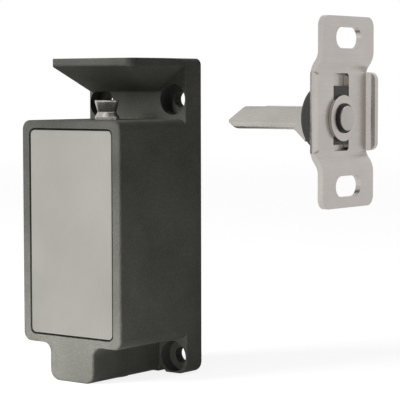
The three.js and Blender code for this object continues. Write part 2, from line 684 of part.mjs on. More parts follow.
function housing() {
  const box = prism('y', boxOutline(), -LOCK_DEPTH, -PLATE_THICKNESS / 2, FRONT_EDGE);
  const plate = prism('y', plateOutline(), -PLATE_THICKNESS, 0, PLATE_EDGE);
  const section = rectangle(2 * CAVITY_HALF_WIDTH, CAVITY_HEIGHT, CAVITY_CORNER, 0, BOX_MIDDLE);
  const cavity = cut(prism('y', section, CAVITY_FRONT, CUT_PAST), ...ribs(), ...pads());
  const recess = rectangle(
    FACE_WIDTH + 2 * FACE_GAP, FACE_HEIGHT + 2 * FACE_GAP, FACE_CORNER + FACE_GAP, 0, BOX_MIDDLE,
  );
  const rebate = rectangle(
    2 * (CAVITY_HALF_WIDTH + COVER_LEDGE), CAVITY_HEIGHT + 2 * COVER_LEDGE, CAVITY_CORNER, 0, BOX_MIDDLE,
  );
  const switchHoleFoot = SWITCH_FRONT - SMALL_SCREW_GRIP - CUT_PAST;
  const boardHoleFoot = BOARD_FRONT - SMALL_SCREW_GRIP - CUT_PAST;
  return cut(
    join(box, plate, hood()),
    cavity,
    prism('y', recess, -LOCK_DEPTH - CUT_PAST, RECESS_FLOOR),
    prism('y', rebate, COVER_SEAT, CUT_PAST),
    bore('z', BUSH_RADIUS + PRESS_GAP, CAVITY_TOP - CUT_PAST, BOX_TOP + CUT_PAST, { y: LATCH_Y }),
    grommetHole(),
    ...FIXING_PLACES.map(([x, z]) => fixingHole(x, z)),
    hoodedFixingHole(-FIXING_X, FIXING_HOODED),
    ...FRAME_SCREW_PLACES.map(([x, z]) => frameScrewHole(x, z)),
    ...screwHoles(COVER_SCREW_PLACES, COVER_SCREW_THREAD, -COVER_SCREW_LENGTH - CUT_PAST, 0),
    ...screwHoles(BOARD_SCREW_PLACES, SMALL_SCREW_THREAD, boardHoleFoot, BOARD_FRONT + CUT_PAST),
    ...screwHoles(SWITCH_SCREW_PLACES, SMALL_SCREW_THREAD, switchHoleFoot, SWITCH_FRONT + CUT_PAST),
  );
}

function frontPlate() {
  const shape = rectangle(FACE_WIDTH, FACE_HEIGHT, FACE_CORNER, 0, BOX_MIDDLE);
  return prism('y', shape, -LOCK_DEPTH, -LOCK_DEPTH + FACE_THICKNESS, FACE_EDGE);
}

function rearCover() {
  const width = 2 * (CAVITY_HALF_WIDTH + COVER_LEDGE - COVER_GAP);
  const height = CAVITY_HEIGHT + 2 * (COVER_LEDGE - COVER_GAP);
  const sheet = prism('y', rectangle(width, height, CAVITY_CORNER, 0, BOX_MIDDLE), COVER_SEAT, 0);
  const holes = COVER_SCREW_PLACES.map(([x, z]) => {
    const length = COVER_THICKNESS + CUT_PAST;
    const hole = flatHeadHole(COVER_SCREW_THREAD, COVER_SCREW_HEAD, COVER_SCREW_HEAD_HEIGHT, length);
    return hole.translate(x, 0, z);
  });
  return cut(sheet, ...holes);
}

function addBody(lock) {
  piece(lock, 'housing', housing(), POWDER_COAT);
  piece(lock, 'front_plate', frontPlate(), BRUSHED_STAINLESS);
  piece(lock, 'rear_cover', rearCover(), BLACK_STEEL);
  COVER_SCREW_PLACES.forEach(([x, z], i) => {
    const screw = flatHeadScrew(
      COVER_SCREW_THREAD, COVER_SCREW_HEAD, COVER_SCREW_HEAD_HEIGHT, COVER_SCREW_LENGTH,
    );
    piece(lock, `rear_cover_screw_${i + 1}`, screw, STEEL).position.set(x, 0, z);
  });
}

function cableGrommet() {
  const inner = around(GROMMET_BORE / 2);
  return ring('z', [
    [inner, 0], [GROMMET_FLANGE_RADIUS, 0], [GROMMET_FLANGE_RADIUS, GROMMET_FLANGE_THICKNESS],
    [GROMMET_RADIUS, GROMMET_FLANGE_THICKNESS], [GROMMET_RADIUS, GROMMET_LENGTH], [inner, GROMMET_LENGTH],
  ]);
}

// Latch and what rides on it; these pieces share the latch's upright axis

function latchRod() {
  const waistZ = BOX_TOP + LATCH_GROOVE_OVER_BOX;
  const grooveRadius = LATCH_RADIUS - RING_GROOVE_DEPTH;
  const rod = turned('z', [
    [0, ROD_FOOT], [LATCH_RADIUS, ROD_FOOT],
    [LATCH_RADIUS, CAM_TOP], [grooveRadius, CAM_TOP],
    [grooveRadius, RING_TOP], [LATCH_RADIUS, RING_TOP],
    [LATCH_RADIUS, waistZ - LATCH_GROOVE_HEIGHT / 2], [LATCH_WAIST / 2, waistZ],
    [LATCH_RADIUS, waistZ + LATCH_GROOVE_HEIGHT / 2],
    [LATCH_RADIUS, LATCH_TOP - LATCH_EDGE], [LATCH_RADIUS - LATCH_EDGE, LATCH_TOP], [0, LATCH_TOP],
  ]);
  const tang = prism('z', rectangle(TANG_THICKNESS, TANG_WIDTH), TANG_FOOT, ROD_FOOT + CUT_PAST);
  const pinHole = bore('x', PIN_DIAMETER / 2 + PRESS_GAP, -LATCH_RADIUS, LATCH_RADIUS, {
    z: PIN_Z, steps: SMALL_STEPS,
  });
  return cut(join(rod, tang), pinHole);
}

function latchBushing() {
  const inner = around(LATCH_RADIUS + RUNNING_GAP);
  const flange = BUSH_RADIUS + BUSH_FLANGE_REACH;
  const top = BOX_TOP - BUSH_SET_DOWN;
  return ring('z', [
    [inner, BUSH_FOOT], [flange, BUSH_FOOT], [flange, CAVITY_TOP],
    [BUSH_RADIUS, CAVITY_TOP], [BUSH_RADIUS, top], [inner, top],
  ]);
}

// A split stop ring that snaps into the latch's groove from the side
function retainingRing() {
  const inner = around(LATCH_RADIUS - RING_GROOVE_DEPTH + PRESS_GAP);
  const outer = LATCH_RADIUS + RING_REACH;
  const full = washer('z', inner, outer, CAM_TOP, RING_TOP);
  const mouth = 2 * outer * Math.sin(RING_OPENING / 2);
  const gap = rectangle(mouth, outer + CUT_PAST, 0, 0, (outer + CUT_PAST) / 2);
  return cut(full, prism('z', gap, CAM_TOP - CUT_PAST, RING_TOP + CUT_PAST));
}

// A collar that widens upwards, so that the switch's button moves as the latch goes down
function camCollar() {
  const inner = around(LATCH_RADIUS + PRESS_GAP);
  const topRadius = CAM_FOOT_RADIUS + CAM_TAPER * CAM_HEIGHT;
  return ring('z', [[inner, CAM_FOOT], [CAM_FOOT_RADIUS, CAM_FOOT], [topRadius, CAM_TOP], [inner, CAM_TOP]]);
}

class Helix extends THREE.Curve {
  constructor(radius, foot, height, turns) {
    super();
    Object.assign(this, { radius, foot, height, turns });
  }

  getPoint(t, target = new THREE.Vector3()) {
    const angle = 2 * Math.PI * this.turns * t;
    const x = this.radius * Math.cos(angle);
    const y = this.radius * Math.sin(angle);
    return target.set(x, y, this.foot + this.height * t);
  }
}

// The least gap between one turn of a coil and the next, measured between points on its wire
function leastGap(curve, wire) {
  const points = curve.getPoints(curve.turns * SPRING_STEPS_PER_TURN * 2);
  const turnApart = SPRING_STEPS_PER_TURN;
  let least = Infinity;
  points.forEach((point, i) => {
    points.slice(i + turnApart).forEach((other) => {
      least = Math.min(least, point.distanceTo(other) - wire);
    });
  });
  return least;
}

function latchSpring() {
  const radius = PLUNGER_RADIUS + SPRING_PLAY + SPRING_WIRE / 2;
  const inset = SPRING_SEAT_GAP + SPRING_WIRE / 2;
  const curve = new Helix(radius, FRAME_TOP + inset, SPRING_LENGTH - 2 * inset, SPRING_TURNS);
  console.log(`latch_spring: least gap between turns ${leastGap(curve, SPRING_WIRE).toFixed(2)} mm`);
  const wire = new THREE.Shape();
  for (let i = 0; i < SPRING_SIDES; i += 1) {
    const angle = 2 * Math.PI * i / SPRING_SIDES;
    const draw = i === 0 ? 'moveTo' : 'lineTo';
    wire[draw](SPRING_WIRE / 2 * Math.cos(angle), SPRING_WIRE / 2 * Math.sin(angle));
  }
  const steps = SPRING_TURNS * SPRING_STEPS_PER_TURN;
  return new THREE.ExtrudeGeometry(wire, { steps, extrudePath: curve, bevelEnabled: false });
}

// The plunger is forked for the latch's tang, and a cross pin joins the two
function solenoidPlunger() {
  const slotFoot = TANG_FOOT - FITTING_GAP;
  const blank = shaft('z', PLUNGER_RADIUS, PLUNGER_FOOT, PLUNGER_TOP);
  const slot = rectangle(TANG_THICKNESS + 2 * FITTING_GAP, PLUNGER_DIAMETER + CUT_PAST);
  const pinHole = bore('x', PIN_DIAMETER / 2 + PRESS_GAP, -PLUNGER_DIAMETER, PLUNGER_DIAMETER, {
    z: PIN_Z, steps: SMALL_STEPS,
  });
  return cut(blank, prism('z', slot, slotFoot, PLUNGER_TOP + CUT_PAST), pinHole);
}

function plungerPin() {
  const half = PLUNGER_RADIUS - PIN_INSET;
  return shaft('x', PIN_DIAMETER / 2, -half, half, { z: PIN_Z, steps: SMALL_STEPS });
}

// A steel strap bent round the coil: open at the left and the right
function solenoidFrame() {
  const outer = rectangle(2 * FRAME_HALF_DEPTH, FRAME_HEIGHT, FRAME_SHEET / 2, 0, FRAME_MIDDLE);
  const inner = rectangle(2 * FRAME_INSIDE, FRAME_HEIGHT - 2 * FRAME_SHEET, 0, 0, FRAME_MIDDLE);
  const half = FRAME_WIDTH / 2;
  const topHole = bore('z', BOBBIN_BORE, FRAME_TOP - FRAME_SHEET - CUT_PAST, FRAME_TOP + CUT_PAST);
  const rivetTop = FRAME_FOOT + FRAME_SHEET + CUT_PAST;
  const rivetHole = bore('z', POLE_RIVET / 2 + PRESS_GAP, FRAME_FOOT - CUT_PAST, rivetTop);
  const screwRadius = FRAME_SCREW_THREAD / 2 + THREAD_GAP;
  const front = -FRAME_HALF_DEPTH - CUT_PAST;
  const threads = FRAME_SCREW_PLACES.map(([x, z]) => (
    bore('y', screwRadius, front, -FRAME_INSIDE + CUT_PAST, { x, z, steps: SMALL_STEPS })
  ));
  const strap = cut(prism('x', outer, -half, half), prism('x', inner, -half - CUT_PAST, half + CUT_PAST));
  return cut(strap, topHole, rivetHole, ...threads);
}

function solenoidBobbin() {
  const foot = FRAME_FOOT + FRAME_SHEET + PRESS_GAP;
  const top = FRAME_TOP - FRAME_SHEET - PRESS_GAP;
  const inner = around(BOBBIN_BORE);
  return ring('z', [
    [inner, foot], [BOBBIN_RADIUS, foot], [BOBBIN_RADIUS, foot + BOBBIN_FLANGE],
    [BOBBIN_TUBE, foot + BOBBIN_FLANGE], [BOBBIN_TUBE, top - BOBBIN_FLANGE],
    [BOBBIN_RADIUS, top - BOBBIN_FLANGE], [BOBBIN_RADIUS, top], [inner, top],
  ]);
}

function solenoidCoil() {
  const inset = FRAME_SHEET + BOBBIN_FLANGE + 2 * PRESS_GAP;
  return washer('z', BOBBIN_TUBE + PRESS_GAP, COIL_RADIUS, FRAME_FOOT + inset, FRAME_TOP - inset);
}

// The fixed pole, riveted into the strap's foot
function solenoidPolePiece() {
  const seat = FRAME_FOOT + FRAME_SHEET + PRESS_GAP;
  return turned('z', [
    [0, FRAME_FOOT], [POLE_RIVET / 2, FRAME_FOOT], [POLE_RIVET / 2, seat],
    [PLUNGER_RADIUS, seat], [PLUNGER_RADIUS, POLE_TOP], [0, POLE_TOP],
  ]);
}

function addLatch(lock) {
  const line = new THREE.Group();
  line.position.y = LATCH_Y;
  lock.add(line);
  piece(line, 'cable_grommet', cableGrommet(), RUBBER);
  piece(line, 'latch_rod', latchRod(), POLISHED_STEEL);
  piece(line, 'latch_bushing', latchBushing(), BRONZE);
  piece(line, 'latch_retaining_ring', retainingRing(), BLACK_STEEL);
  piece(line, 'latch_cam_collar', camCollar(), WHITE_PLASTIC);
  piece(line, 'latch_spring', latchSpring(), STEEL);
  piece(line, 'solenoid_plunger', solenoidPlunger(), STEEL);
  piece(line, 'plunger_pin', plungerPin(), POLISHED_STEEL);
  piece(line, 'solenoid_frame', solenoidFrame(), STEEL);
  piece(line, 'solenoid_bobbin', solenoidBobbin(), BLACK_PLASTIC);
  piece(line, 'solenoid_coil', solenoidCoil(), COPPER);
  piece(line, 'solenoid_pole_piece', solenoidPolePiece(), STEEL);
  const grip = LATCH_Y - FRAME_INSIDE - RECESS_FLOOR - FITTING_GAP;
  FRAME_SCREW_PLACES.forEach(([x, z], i) => {
    const screw = flatHeadScrew(FRAME_SCREW_THREAD, FRAME_SCREW_HEAD, FRAME_SCREW_HEAD_HEIGHT, grip);
    const mesh = piece(lock, `solenoid_screw_${i + 1}`, screw, STEEL);
    mesh.position.set(x, RECESS_FLOOR + PRESS_GAP, z);
    mesh.rotation.z = Math.PI;
  });
}

// Switch

function switchBody() {
  const shape = rectangle(SWITCH_HEIGHT, SWITCH_LENGTH, SWITCH_EDGE, SWITCH_SCREW_X, SWITCH_Z);
  const block = prism('y', shape, SWITCH_FRONT, SWITCH_BACK);
  const depth = SWITCH_FACE + BUTTON_DEPTH + BUTTON_TRAVEL + FITTING_GAP;
  const guide = bore('x', BUTTON_DIAMETER / 2 + RUNNING_GAP, SWITCH_FACE - CUT_PAST, depth, {
    y: LATCH_Y, z: BUTTON_Z, steps: SMALL_STEPS,
  });
  const [front, back] = [SWITCH_FRONT - CUT_PAST, SWITCH_BACK + CUT_PAST];
  return cut(block, guide, ...screwHoles(SWITCH_SCREW_PLACES, SMALL_SCREW_THREAD, front, back));
}

function switchButton() {
  const radius = BUTTON_DIAMETER / 2;
  const tip = BUTTON_TIP_DIAMETER / 2;
  const shoulder = BUTTON_TIP + radius - tip;
  const foot = SWITCH_FACE + BUTTON_DEPTH;
  const profile = [[0, BUTTON_TIP], [tip, BUTTON_TIP], [radius, shoulder], [radius, foot], [0, foot]];
  return turned('x', profile, { y: LATCH_Y, z: BUTTON_Z, steps: SMALL_STEPS });
}

function addSwitch(lock) {
  piece(lock, 'microswitch_body', switchBody(), BLACK_PLASTIC);
  piece(lock, 'microswitch_button', switchButton(), WHITE_PLASTIC);
  const back = SWITCH_FACE + SWITCH_HEIGHT;
  for (let i = 0; i < TERMINAL_COUNT; i += 1) {
    const z = SWITCH_Z + (i - (TERMINAL_COUNT - 1) / 2) * TERMINAL_PITCH;
    const section = rectangle(TERMINAL_WIDTH, TERMINAL_SHEET, 0, LATCH_Y, z);
    const terminal = prism('x', section, back + PRESS_GAP, back + PRESS_GAP + TERMINAL_LENGTH);
    piece(lock, `microswitch_terminal_${i + 1}`, terminal, BRONZE);
  }
  SWITCH_SCREW_PLACES.forEach(([x, z], i) => {
    const length = SWITCH_THICKNESS + SMALL_SCREW_GRIP;
    const screw = panHeadScrew(SMALL_SCREW_THREAD, SMALL_SCREW_HEAD, SMALL_SCREW_HEAD_HEIGHT, length);
    const mesh = piece(lock, `microswitch_screw_${i + 1}`, screw, STEEL);
    mesh.position.set(x, SWITCH_BACK + SMALL_SCREW_HEAD_HEIGHT + PRESS_GAP, z);
  });
}

// Circuit board

function circuitBoard() {
  const width = 2 * (CAVITY_HALF_WIDTH - BOARD_MARGIN);
  const sheet = rectangle(width, BOARD_TOP - BOARD_FOOT, 0, 0, BOARD_MIDDLE);
  const [front, back] = [BOARD_FRONT - CUT_PAST, BOARD_BACK + CUT_PAST];
  const holes = screwHoles(BOARD_SCREW_PLACES, SMALL_SCREW_THREAD, front, back);
  return cut(prism('y', sheet, BOARD_FRONT, BOARD_BACK), ...holes);
}

function terminalBlock() {
  const foot = BOARD_FOOT + BOARD_MARGIN;
  const back = COVER_SEAT - BLOCK_CLEAR;
  const section = rectangle(BLOCK_WIDTH, BLOCK_HEIGHT, 0, 0, foot + BLOCK_HEIGHT / 2);
  const block = prism('y', section, BOARD_BACK + PRESS_GAP, back);
  const y = (BOARD_BACK + back) / 2;
  const holes = [-1, 1].map((side) => (
    bore('z', BLOCK_WIRE_HOLE / 2, foot - CUT_PAST, foot + BLOCK_WIRE_DEPTH, {
      x: side * BLOCK_WIRE_PITCH / 2, y, steps: SMALL_STEPS,
    })
  ));
  return cut(block, ...holes);
}

function flybackDiode() {
  const half = DIODE_LENGTH / 2;
  const y = BOARD_BACK + DIODE_DIAMETER / 2 + PRESS_GAP;
  const place = { y, z: BOARD_TOP - DIODE_DROP, steps: SMALL_STEPS };
  return shaft('x', DIODE_DIAMETER / 2, -half, half, place);
}

function addBoard(lock) {
  piece(lock, 'circuit_board', circuitBoard(), BOARD_GREEN);
  piece(lock, 'terminal_block', terminalBlock(), GREEN_PLASTIC);
  piece(lock, 'flyback_diode', flybackDiode(), BLACK_PLASTIC);
  BOARD_SCREW_PLACES.forEach(([x, z], i) => {
    const length = BOARD_THICKNESS + SMALL_SCREW_GRIP;
    const screw = panHeadScrew(SMALL_SCREW_THREAD, SMALL_SCREW_HEAD, SMALL_SCREW_HEAD_HEIGHT, length);
    const mesh = piece(lock, `board_screw_${i + 1}`, screw, STEEL);
    mesh.position.set(x, BOARD_BACK + SMALL_SCREW_HEAD_HEIGHT + PRESS_GAP, z);
  });
}

// Striker

// The bracket from the side: ears on the door's face, the middle set back towards the lock
function bracketProfile() {
  const half = BRACKET_HEIGHT / 2;
  const inner = BRACKET_MIDDLE / 2;
  const outer = inner + BRACKET_FOLD;
  const slant = Math.atan2(BRACKET_RECESS, BRACKET_FOLD);
  const shift = BRACKET_SHEET * Math.tan(slant / 2);
  const tight = BRACKET_BEND;
  const wide = BRACKET_BEND + BRACKET_SHEET;
  return outline([
    [0, -half], [0, -outer, wide], [MIDDLE_FACE, -inner, tight],
    [MIDDLE_FACE, inner, tight], [0, outer, wide], [0, half],
    [-BRACKET_SHEET, half], [-BRACKET_SHEET, outer + shift, tight], [MIDDLE_BACK, inner + shift, wide],
    [MIDDLE_BACK, -inner - shift, wide], [-BRACKET_SHEET, -outer - shift, tight], [-BRACKET_SHEET, -half],
  ]);
}

// One side lip from above, bent from the middle's edge out to the door's face
function lipProfile(side) {
  const start = BRACKET_WIDTH / 2 - LIP_INSET;
  const inside = side * (start + LIP_BEND);
  const outside = side * (start + LIP_BEND + BRACKET_SHEET);
  const root = side * (start - BRACKET_SHEET);
  return outline([
    [0, inside], [0, outside], [MIDDLE_BACK, outside, LIP_BEND + BRACKET_SHEET],
    [MIDDLE_BACK, root], [MIDDLE_FACE, root], [MIDDLE_FACE, inside, LIP_BEND],
  ]);
}

function strikerBracket() {
  const half = BRACKET_WIDTH / 2;
  const strip = prism('y', bracketProfile(), -half, half);
  const [back, front] = [MIDDLE_BACK - CUT_PAST, CUT_PAST];
  const earOutline = rectangle(BRACKET_WIDTH, BRACKET_HEIGHT, EAR_CORNER);
  const lipReach = BRACKET_WIDTH - 2 * LIP_INSET + 2 * (BRACKET_BEND + BRACKET_SHEET);
  const lipHalf = LIP_HEIGHT / 2;
  const lipSide = outline([
    [back, -lipHalf], [0, -lipHalf, LIP_END_CORNER], [0, lipHalf, LIP_END_CORNER], [back, lipHalf],
  ]);
  const lipOutline = prism('y', lipSide, -lipReach, lipReach);
  const lips = [-1, 1].map((side) => (
    meet(prism('z', lipProfile(side), -lipHalf, lipHalf), lipOutline)
  ));
  const earSlots = [-1, 1].map((end) => {
    const z = end * EAR_SLOT_SPAN / 2;
    return prism('x', rectangle(EAR_SLOT_LENGTH, EAR_SLOT_WIDTH, EAR_SLOT_WIDTH / 2, 0, z), back, front);
  });
  const floatSlot = rectangle(FLOAT_SLOT_WIDTH, FLOAT_SLOT_HEIGHT, FLOAT_SLOT_CORNER);
  const plate = join(meet(strip, prism('x', earOutline, back, front)), ...lips);
  return cut(plate, ...earSlots, prism('x', floatSlot, back, front));
}

// The bolt from the side: a nose that slopes up to the flat top, and a flare under its base
function boltProfile() {
  const half = BOLT_HEIGHT / 2;
  const noseLow = -half + BOLT_NOSE_RISE;
  return outline([
    [BOLT_BASE, -half - BOLT_FLARE_DROP], [BOLT_BASE, half],
    [BOLT_TIP + BOLT_NOSE_SLOPE, half, BOLT_TOP_CORNER],
    [BOLT_TIP, noseLow + BOLT_NOSE_FACE], [BOLT_TIP, noseLow],
    [BOLT_TIP + BOLT_NOSE_UNDER, -half, BOLT_NOSE_RISE / 2],
    [BOLT_BASE - BOLT_FLARE_LENGTH, -half, BOLT_FLARE_LENGTH / 2],
  ]);
}

function strikerBolt() {
  const half = BOLT_HEIGHT / 2;
  const side = BOLT_WIDTH / 2;
  const bar = prism('y', boltProfile(), -side, side);
  const section = outline([
    [-side, -half, BOLT_UNDER_CORNER], [side, -half, BOLT_UNDER_CORNER],
    [side, half, BOLT_TOP_CORNER], [-side, half, BOLT_TOP_CORNER],
  ]);
  const flareStart = BOLT_BASE - BOLT_FLARE_LENGTH;
  const tall = BOLT_HEIGHT + BOLT_FLARE_DROP;
  const rounded = prism('x', section, BOLT_TIP - CUT_PAST, flareStart);
  const base = prism('x', rectangle(BOLT_WIDTH, 2 * tall), flareStart, BOLT_BASE);
  const plan = outline([
    [BOLT_BASE, -side], [BOLT_BASE, side],
    [BOLT_TIP, side, BOLT_NOSE_CORNER], [BOLT_TIP, -side, BOLT_NOSE_CORNER],
  ]);
  const trimmed = meet(meet(bar, join(rounded, base)), prism('z', plan, -tall, tall));
  const opening = LATCH_DIAMETER + 2 * BOLT_WINDOW_PLAY;
  const window = rectangle(opening, opening, BOLT_WINDOW_CORNER, BOLT_TIP + BOLT_WINDOW_SETBACK, 0);
  const pinHole = bore('x', BOLT_PIN_BORE, BOLT_BASE - BOLT_PIN_GRIP - FITTING_GAP, BOLT_BASE + CUT_PAST, {
    steps: SMALL_STEPS,
  });
  return cut(trimmed, prism('z', window, -tall, tall), pinHole);
}

function rubberCushion() {
  const inner = around(BOLT_PIN_BORE);
  const radius = CUSHION_DIAMETER / 2;
  const shoulder = radius - CUSHION_ROUND;
  const crown = [];
  for (let i = 0; i <= ARC_STEPS; i += 1) {
    const angle = Math.PI / 2 * i / ARC_STEPS;
    const along = BOLT_BASE + CUSHION_ROUND * (1 - Math.sin(angle));
    crown.push([shoulder + CUSHION_ROUND * Math.cos(angle), along]);
  }
  return ring('x', [[inner, CUSHION_BACK], [radius, CUSHION_BACK], ...crown, [inner, BOLT_BASE]]);
}

function slidePlate() {
  const shape = rectangle(SLIDE_PLATE_WIDTH, SLIDE_PLATE_HEIGHT, SLIDE_PLATE_CORNER);
  const sheet = prism('x', shape, CUSHION_BACK, SLIDE_PLATE_FACE);
  const hole = bore('x', BOLT_PIN_BORE, CUSHION_BACK - CUT_PAST, SLIDE_PLATE_FACE + CUT_PAST);
  return cut(sheet, hole);
}

function floatSlider() {
  const height = SLIDER_RISE + SLIDER_DROP;
  const shape = rectangle(SLIDER_WIDTH, height, FLOAT_SLOT_CORNER, 0, (SLIDER_RISE - SLIDER_DROP) / 2);
  const block = prism('x', shape, SLIDE_PLATE_FACE, MIDDLE_FACE);
  const hole = bore('x', BOLT_PIN_BORE, SLIDE_PLATE_FACE - CUT_PAST, MIDDLE_FACE + CUT_PAST);
  return cut(block, hole);
}

function strikerWasher() {
  const inner = around(BOLT_PIN_BORE);
  const radius = WASHER_DIAMETER / 2;
  return ring('x', [
    [inner, WASHER_BACK], [radius, WASHER_BACK], [radius, WASHER_FACE - WASHER_EDGE],
    [radius - WASHER_EDGE, WASHER_FACE], [inner, WASHER_FACE],
  ]);
}

function boltPin() {
  const radius = BOLT_PIN_DIAMETER / 2;
  const head = BOLT_PIN_HEAD / 2;
  const foot = BOLT_BASE - BOLT_PIN_GRIP;
  const face = -BOLT_PIN_SET_BACK;
  return turned('x', [
    [0, foot], [radius, foot], [radius, LOCK_WASHER_FACE], [head, LOCK_WASHER_FACE],
    [head, face - BOLT_PIN_EDGE], [head - BOLT_PIN_EDGE, face], [0, face],
  ]);
}

function addStriker(assembly) {
  const striker = new THREE.Group();
  const boltHeight = BOX_TOP + BOLT_OVER_BOX;
  striker.position.set(HALF_WIDTH + STRIKER_AWAY, LATCH_Y, boltHeight + BOLT_FLOAT / 2);
  assembly.add(striker);
  piece(striker, 'striker_bracket', strikerBracket(), STEEL);
  const floating = new THREE.Group();
  floating.position.z = -BOLT_FLOAT / 2;
  striker.add(floating);
  piece(floating, 'striker_bolt', strikerBolt(), POLISHED_STEEL);
  piece(floating, 'rubber_cushion', rubberCushion(), RUBBER);
  piece(floating, 'slide_plate', slidePlate(), STEEL);
  piece(floating, 'float_slider', floatSlider(), BLACK_PLASTIC);
  piece(floating, 'striker_washer', strikerWasher(), STEEL);
  const lockWasher = washer('x', BOLT_PIN_BORE, LOCK_WASHER_DIAMETER / 2, WASHER_FACE, LOCK_WASHER_FACE);
  piece(floating, 'pin_lock_washer', lockWasher, BLACK_STEEL);
  piece(floating, 'bolt_pin', boltPin(), POLISHED_STEEL);
}

const cabinetLock = new THREE.Group();
const upright = new THREE.Group();
upright.position.z = -FIXING_MIDDLE;
cabinetLock.add(upright);
addBody(upright);
addLatch(upright);
addSwitch(upright);
addBoard(upright);
addStriker(upright);

export default cabinetLock;
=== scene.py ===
"""Looks of an electromechanical cabinet lock and its striker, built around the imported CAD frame.

Sizes are in millimetres; finished meshes are scaled to the frame's metres.
"""

from __future__ import annotations

import json
import logging
import math
from dataclasses import dataclass, field
from enum import Enum
from typing import NamedTuple, Sequence, Union

import bmesh
import bpy
from mathutils import Matrix, Vector

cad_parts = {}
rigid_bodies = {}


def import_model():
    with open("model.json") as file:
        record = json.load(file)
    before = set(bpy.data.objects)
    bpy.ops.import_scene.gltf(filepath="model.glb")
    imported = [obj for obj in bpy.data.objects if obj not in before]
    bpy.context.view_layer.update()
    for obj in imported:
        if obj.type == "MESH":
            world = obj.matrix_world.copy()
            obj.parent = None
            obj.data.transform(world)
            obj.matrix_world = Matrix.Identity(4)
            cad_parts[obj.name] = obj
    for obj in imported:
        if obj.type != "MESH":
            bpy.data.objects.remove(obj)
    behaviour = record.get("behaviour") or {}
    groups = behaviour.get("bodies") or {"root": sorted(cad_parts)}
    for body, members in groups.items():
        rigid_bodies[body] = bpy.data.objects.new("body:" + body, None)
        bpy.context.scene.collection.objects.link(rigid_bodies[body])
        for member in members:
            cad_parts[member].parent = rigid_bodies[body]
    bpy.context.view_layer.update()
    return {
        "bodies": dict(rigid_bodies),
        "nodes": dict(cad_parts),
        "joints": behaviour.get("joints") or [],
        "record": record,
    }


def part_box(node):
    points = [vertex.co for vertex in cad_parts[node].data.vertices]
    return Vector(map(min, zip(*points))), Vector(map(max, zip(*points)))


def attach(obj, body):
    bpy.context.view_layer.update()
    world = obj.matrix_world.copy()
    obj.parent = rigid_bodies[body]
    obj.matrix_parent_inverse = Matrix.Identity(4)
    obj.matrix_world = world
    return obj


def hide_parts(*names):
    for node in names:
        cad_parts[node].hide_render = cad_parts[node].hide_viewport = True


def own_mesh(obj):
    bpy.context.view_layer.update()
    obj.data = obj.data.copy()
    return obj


LOG = logging.getLogger("cabinet_lock")

MM = 0.001
TOUCH = 1e-4
CUT_PAST = 1.0

ARC_STEP = math.radians(9)
SHARP_ANGLE = math.radians(34)
ROUND_STEPS = 72
SMALL_ROUND_STEPS = 40
WIRE_STEPS_PER_TURN = 32
WIRE_SIDES = 12
RIM_STEPS = 4
EDGE_STEPS = 3

Triple = tuple[float, float, float]
Socket = bpy.types.NodeSocket
Value = Union[Socket, float, Sequence[float]]


class Axis(Enum):
    """The way that an outline is drawn out, or the line that a profile is turned about."""

    X = "x"
    Y = "y"
    Z = "z"

    def point(self, u: float, v: float, along: float) -> Vector:
        """Returns the point at u and v in the outline's plane and at a place along the axis."""
        places = {Axis.X: (along, u, v), Axis.Y: (u, along, v), Axis.Z: (u, v, along)}
        return Vector(places[self])

    def along(self, point: Vector) -> float:
        """Returns a point's place along the axis."""
        return point["XYZ".index(self.name)]

    def vector(self, length: float = 1.0) -> Vector:
        """Returns a vector of that length along the axis."""
        return self.point(0.0, 0.0, length)


class Body(str, Enum):
    """The CAD bodies that pieces ride on."""

    LOCK = "lock_body"
    LATCH = "latch"
    STRIKER = "striker"
    BOLT = "floating_bolt"


class Slot(str, Enum):
    """The record's material slots."""

    POWDER_COAT = "powder_coat"
    BRUSHED_STAINLESS = "brushed_stainless"
    BLACK_SHEET = "black_sheet"
    ZINC_SCREW = "zinc_screw"
    RUBBER = "rubber"
    POLISHED_STEEL = "polished_steel"
    PLATED_STEEL = "plated_steel"
    BRONZE = "bronze"
    COPPER = "copper"
    BLACK_PLASTIC = "black_plastic"
    WHITE_PLASTIC = "white_plastic"
    GREEN_PLASTIC = "green_plastic"
    BOARD_GREEN = "board_green"


class Combine(str, Enum):
    """What one solid does with another."""

    JOIN = "UNION"
    CUT = "DIFFERENCE"
    MEET = "INTERSECT"


class Corner(NamedTuple):
    """A corner of an outline, rounded where it has a radius."""

    u: float
    v: float
    radius: float = 0.0


def rectangle(u: float, v: float, width: float, height: float, radius: float = 0.0) -> list[Corner]:
    """Returns the corners of a rectangle about a middle, all of one radius."""
    sides = ((-1, -1), (1, -1), (1, 1), (-1, 1))
    return [Corner(u + x * width / 2, v + y * height / 2, radius) for x, y in sides]


class Box(NamedTuple):
    """A CAD node's box in millimetres."""

    low: Vector
    high: Vector

    @classmethod
    def of(cls, node: str) -> Box:
        """Returns the box of a CAD node at rest."""
        low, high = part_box(node)
        return cls(low / MM, high / MM)

    @property
    def size(self) -> Vector:
        """The box's width, depth and height."""
        return self.high - self.low

    @property
    def centre(self) -> Vector:
        """The box's middle."""
        return (self.low + self.high) / 2

    def front_outline(self, radius: float, gap: float = 0.0) -> list[Corner]:
        """Returns the box's outline from the front, grown by a gap all round."""
        wide, tall = self.size.x + 2 * gap, self.size.z + 2 * gap
        return rectangle(self.centre.x, self.centre.z, wide, tall, radius)


def add_object(name: str, data: bpy.types.ID) -> bpy.types.Object:
    """Puts a mesh, a lamp or a camera into the scene.

    Args:
        name: The object's name.
        data: What the object holds.

    Returns:
        The new object, at the origin.
    """
    obj = bpy.data.objects.new(name, data)
    bpy.context.scene.collection.objects.link(obj)
    return obj


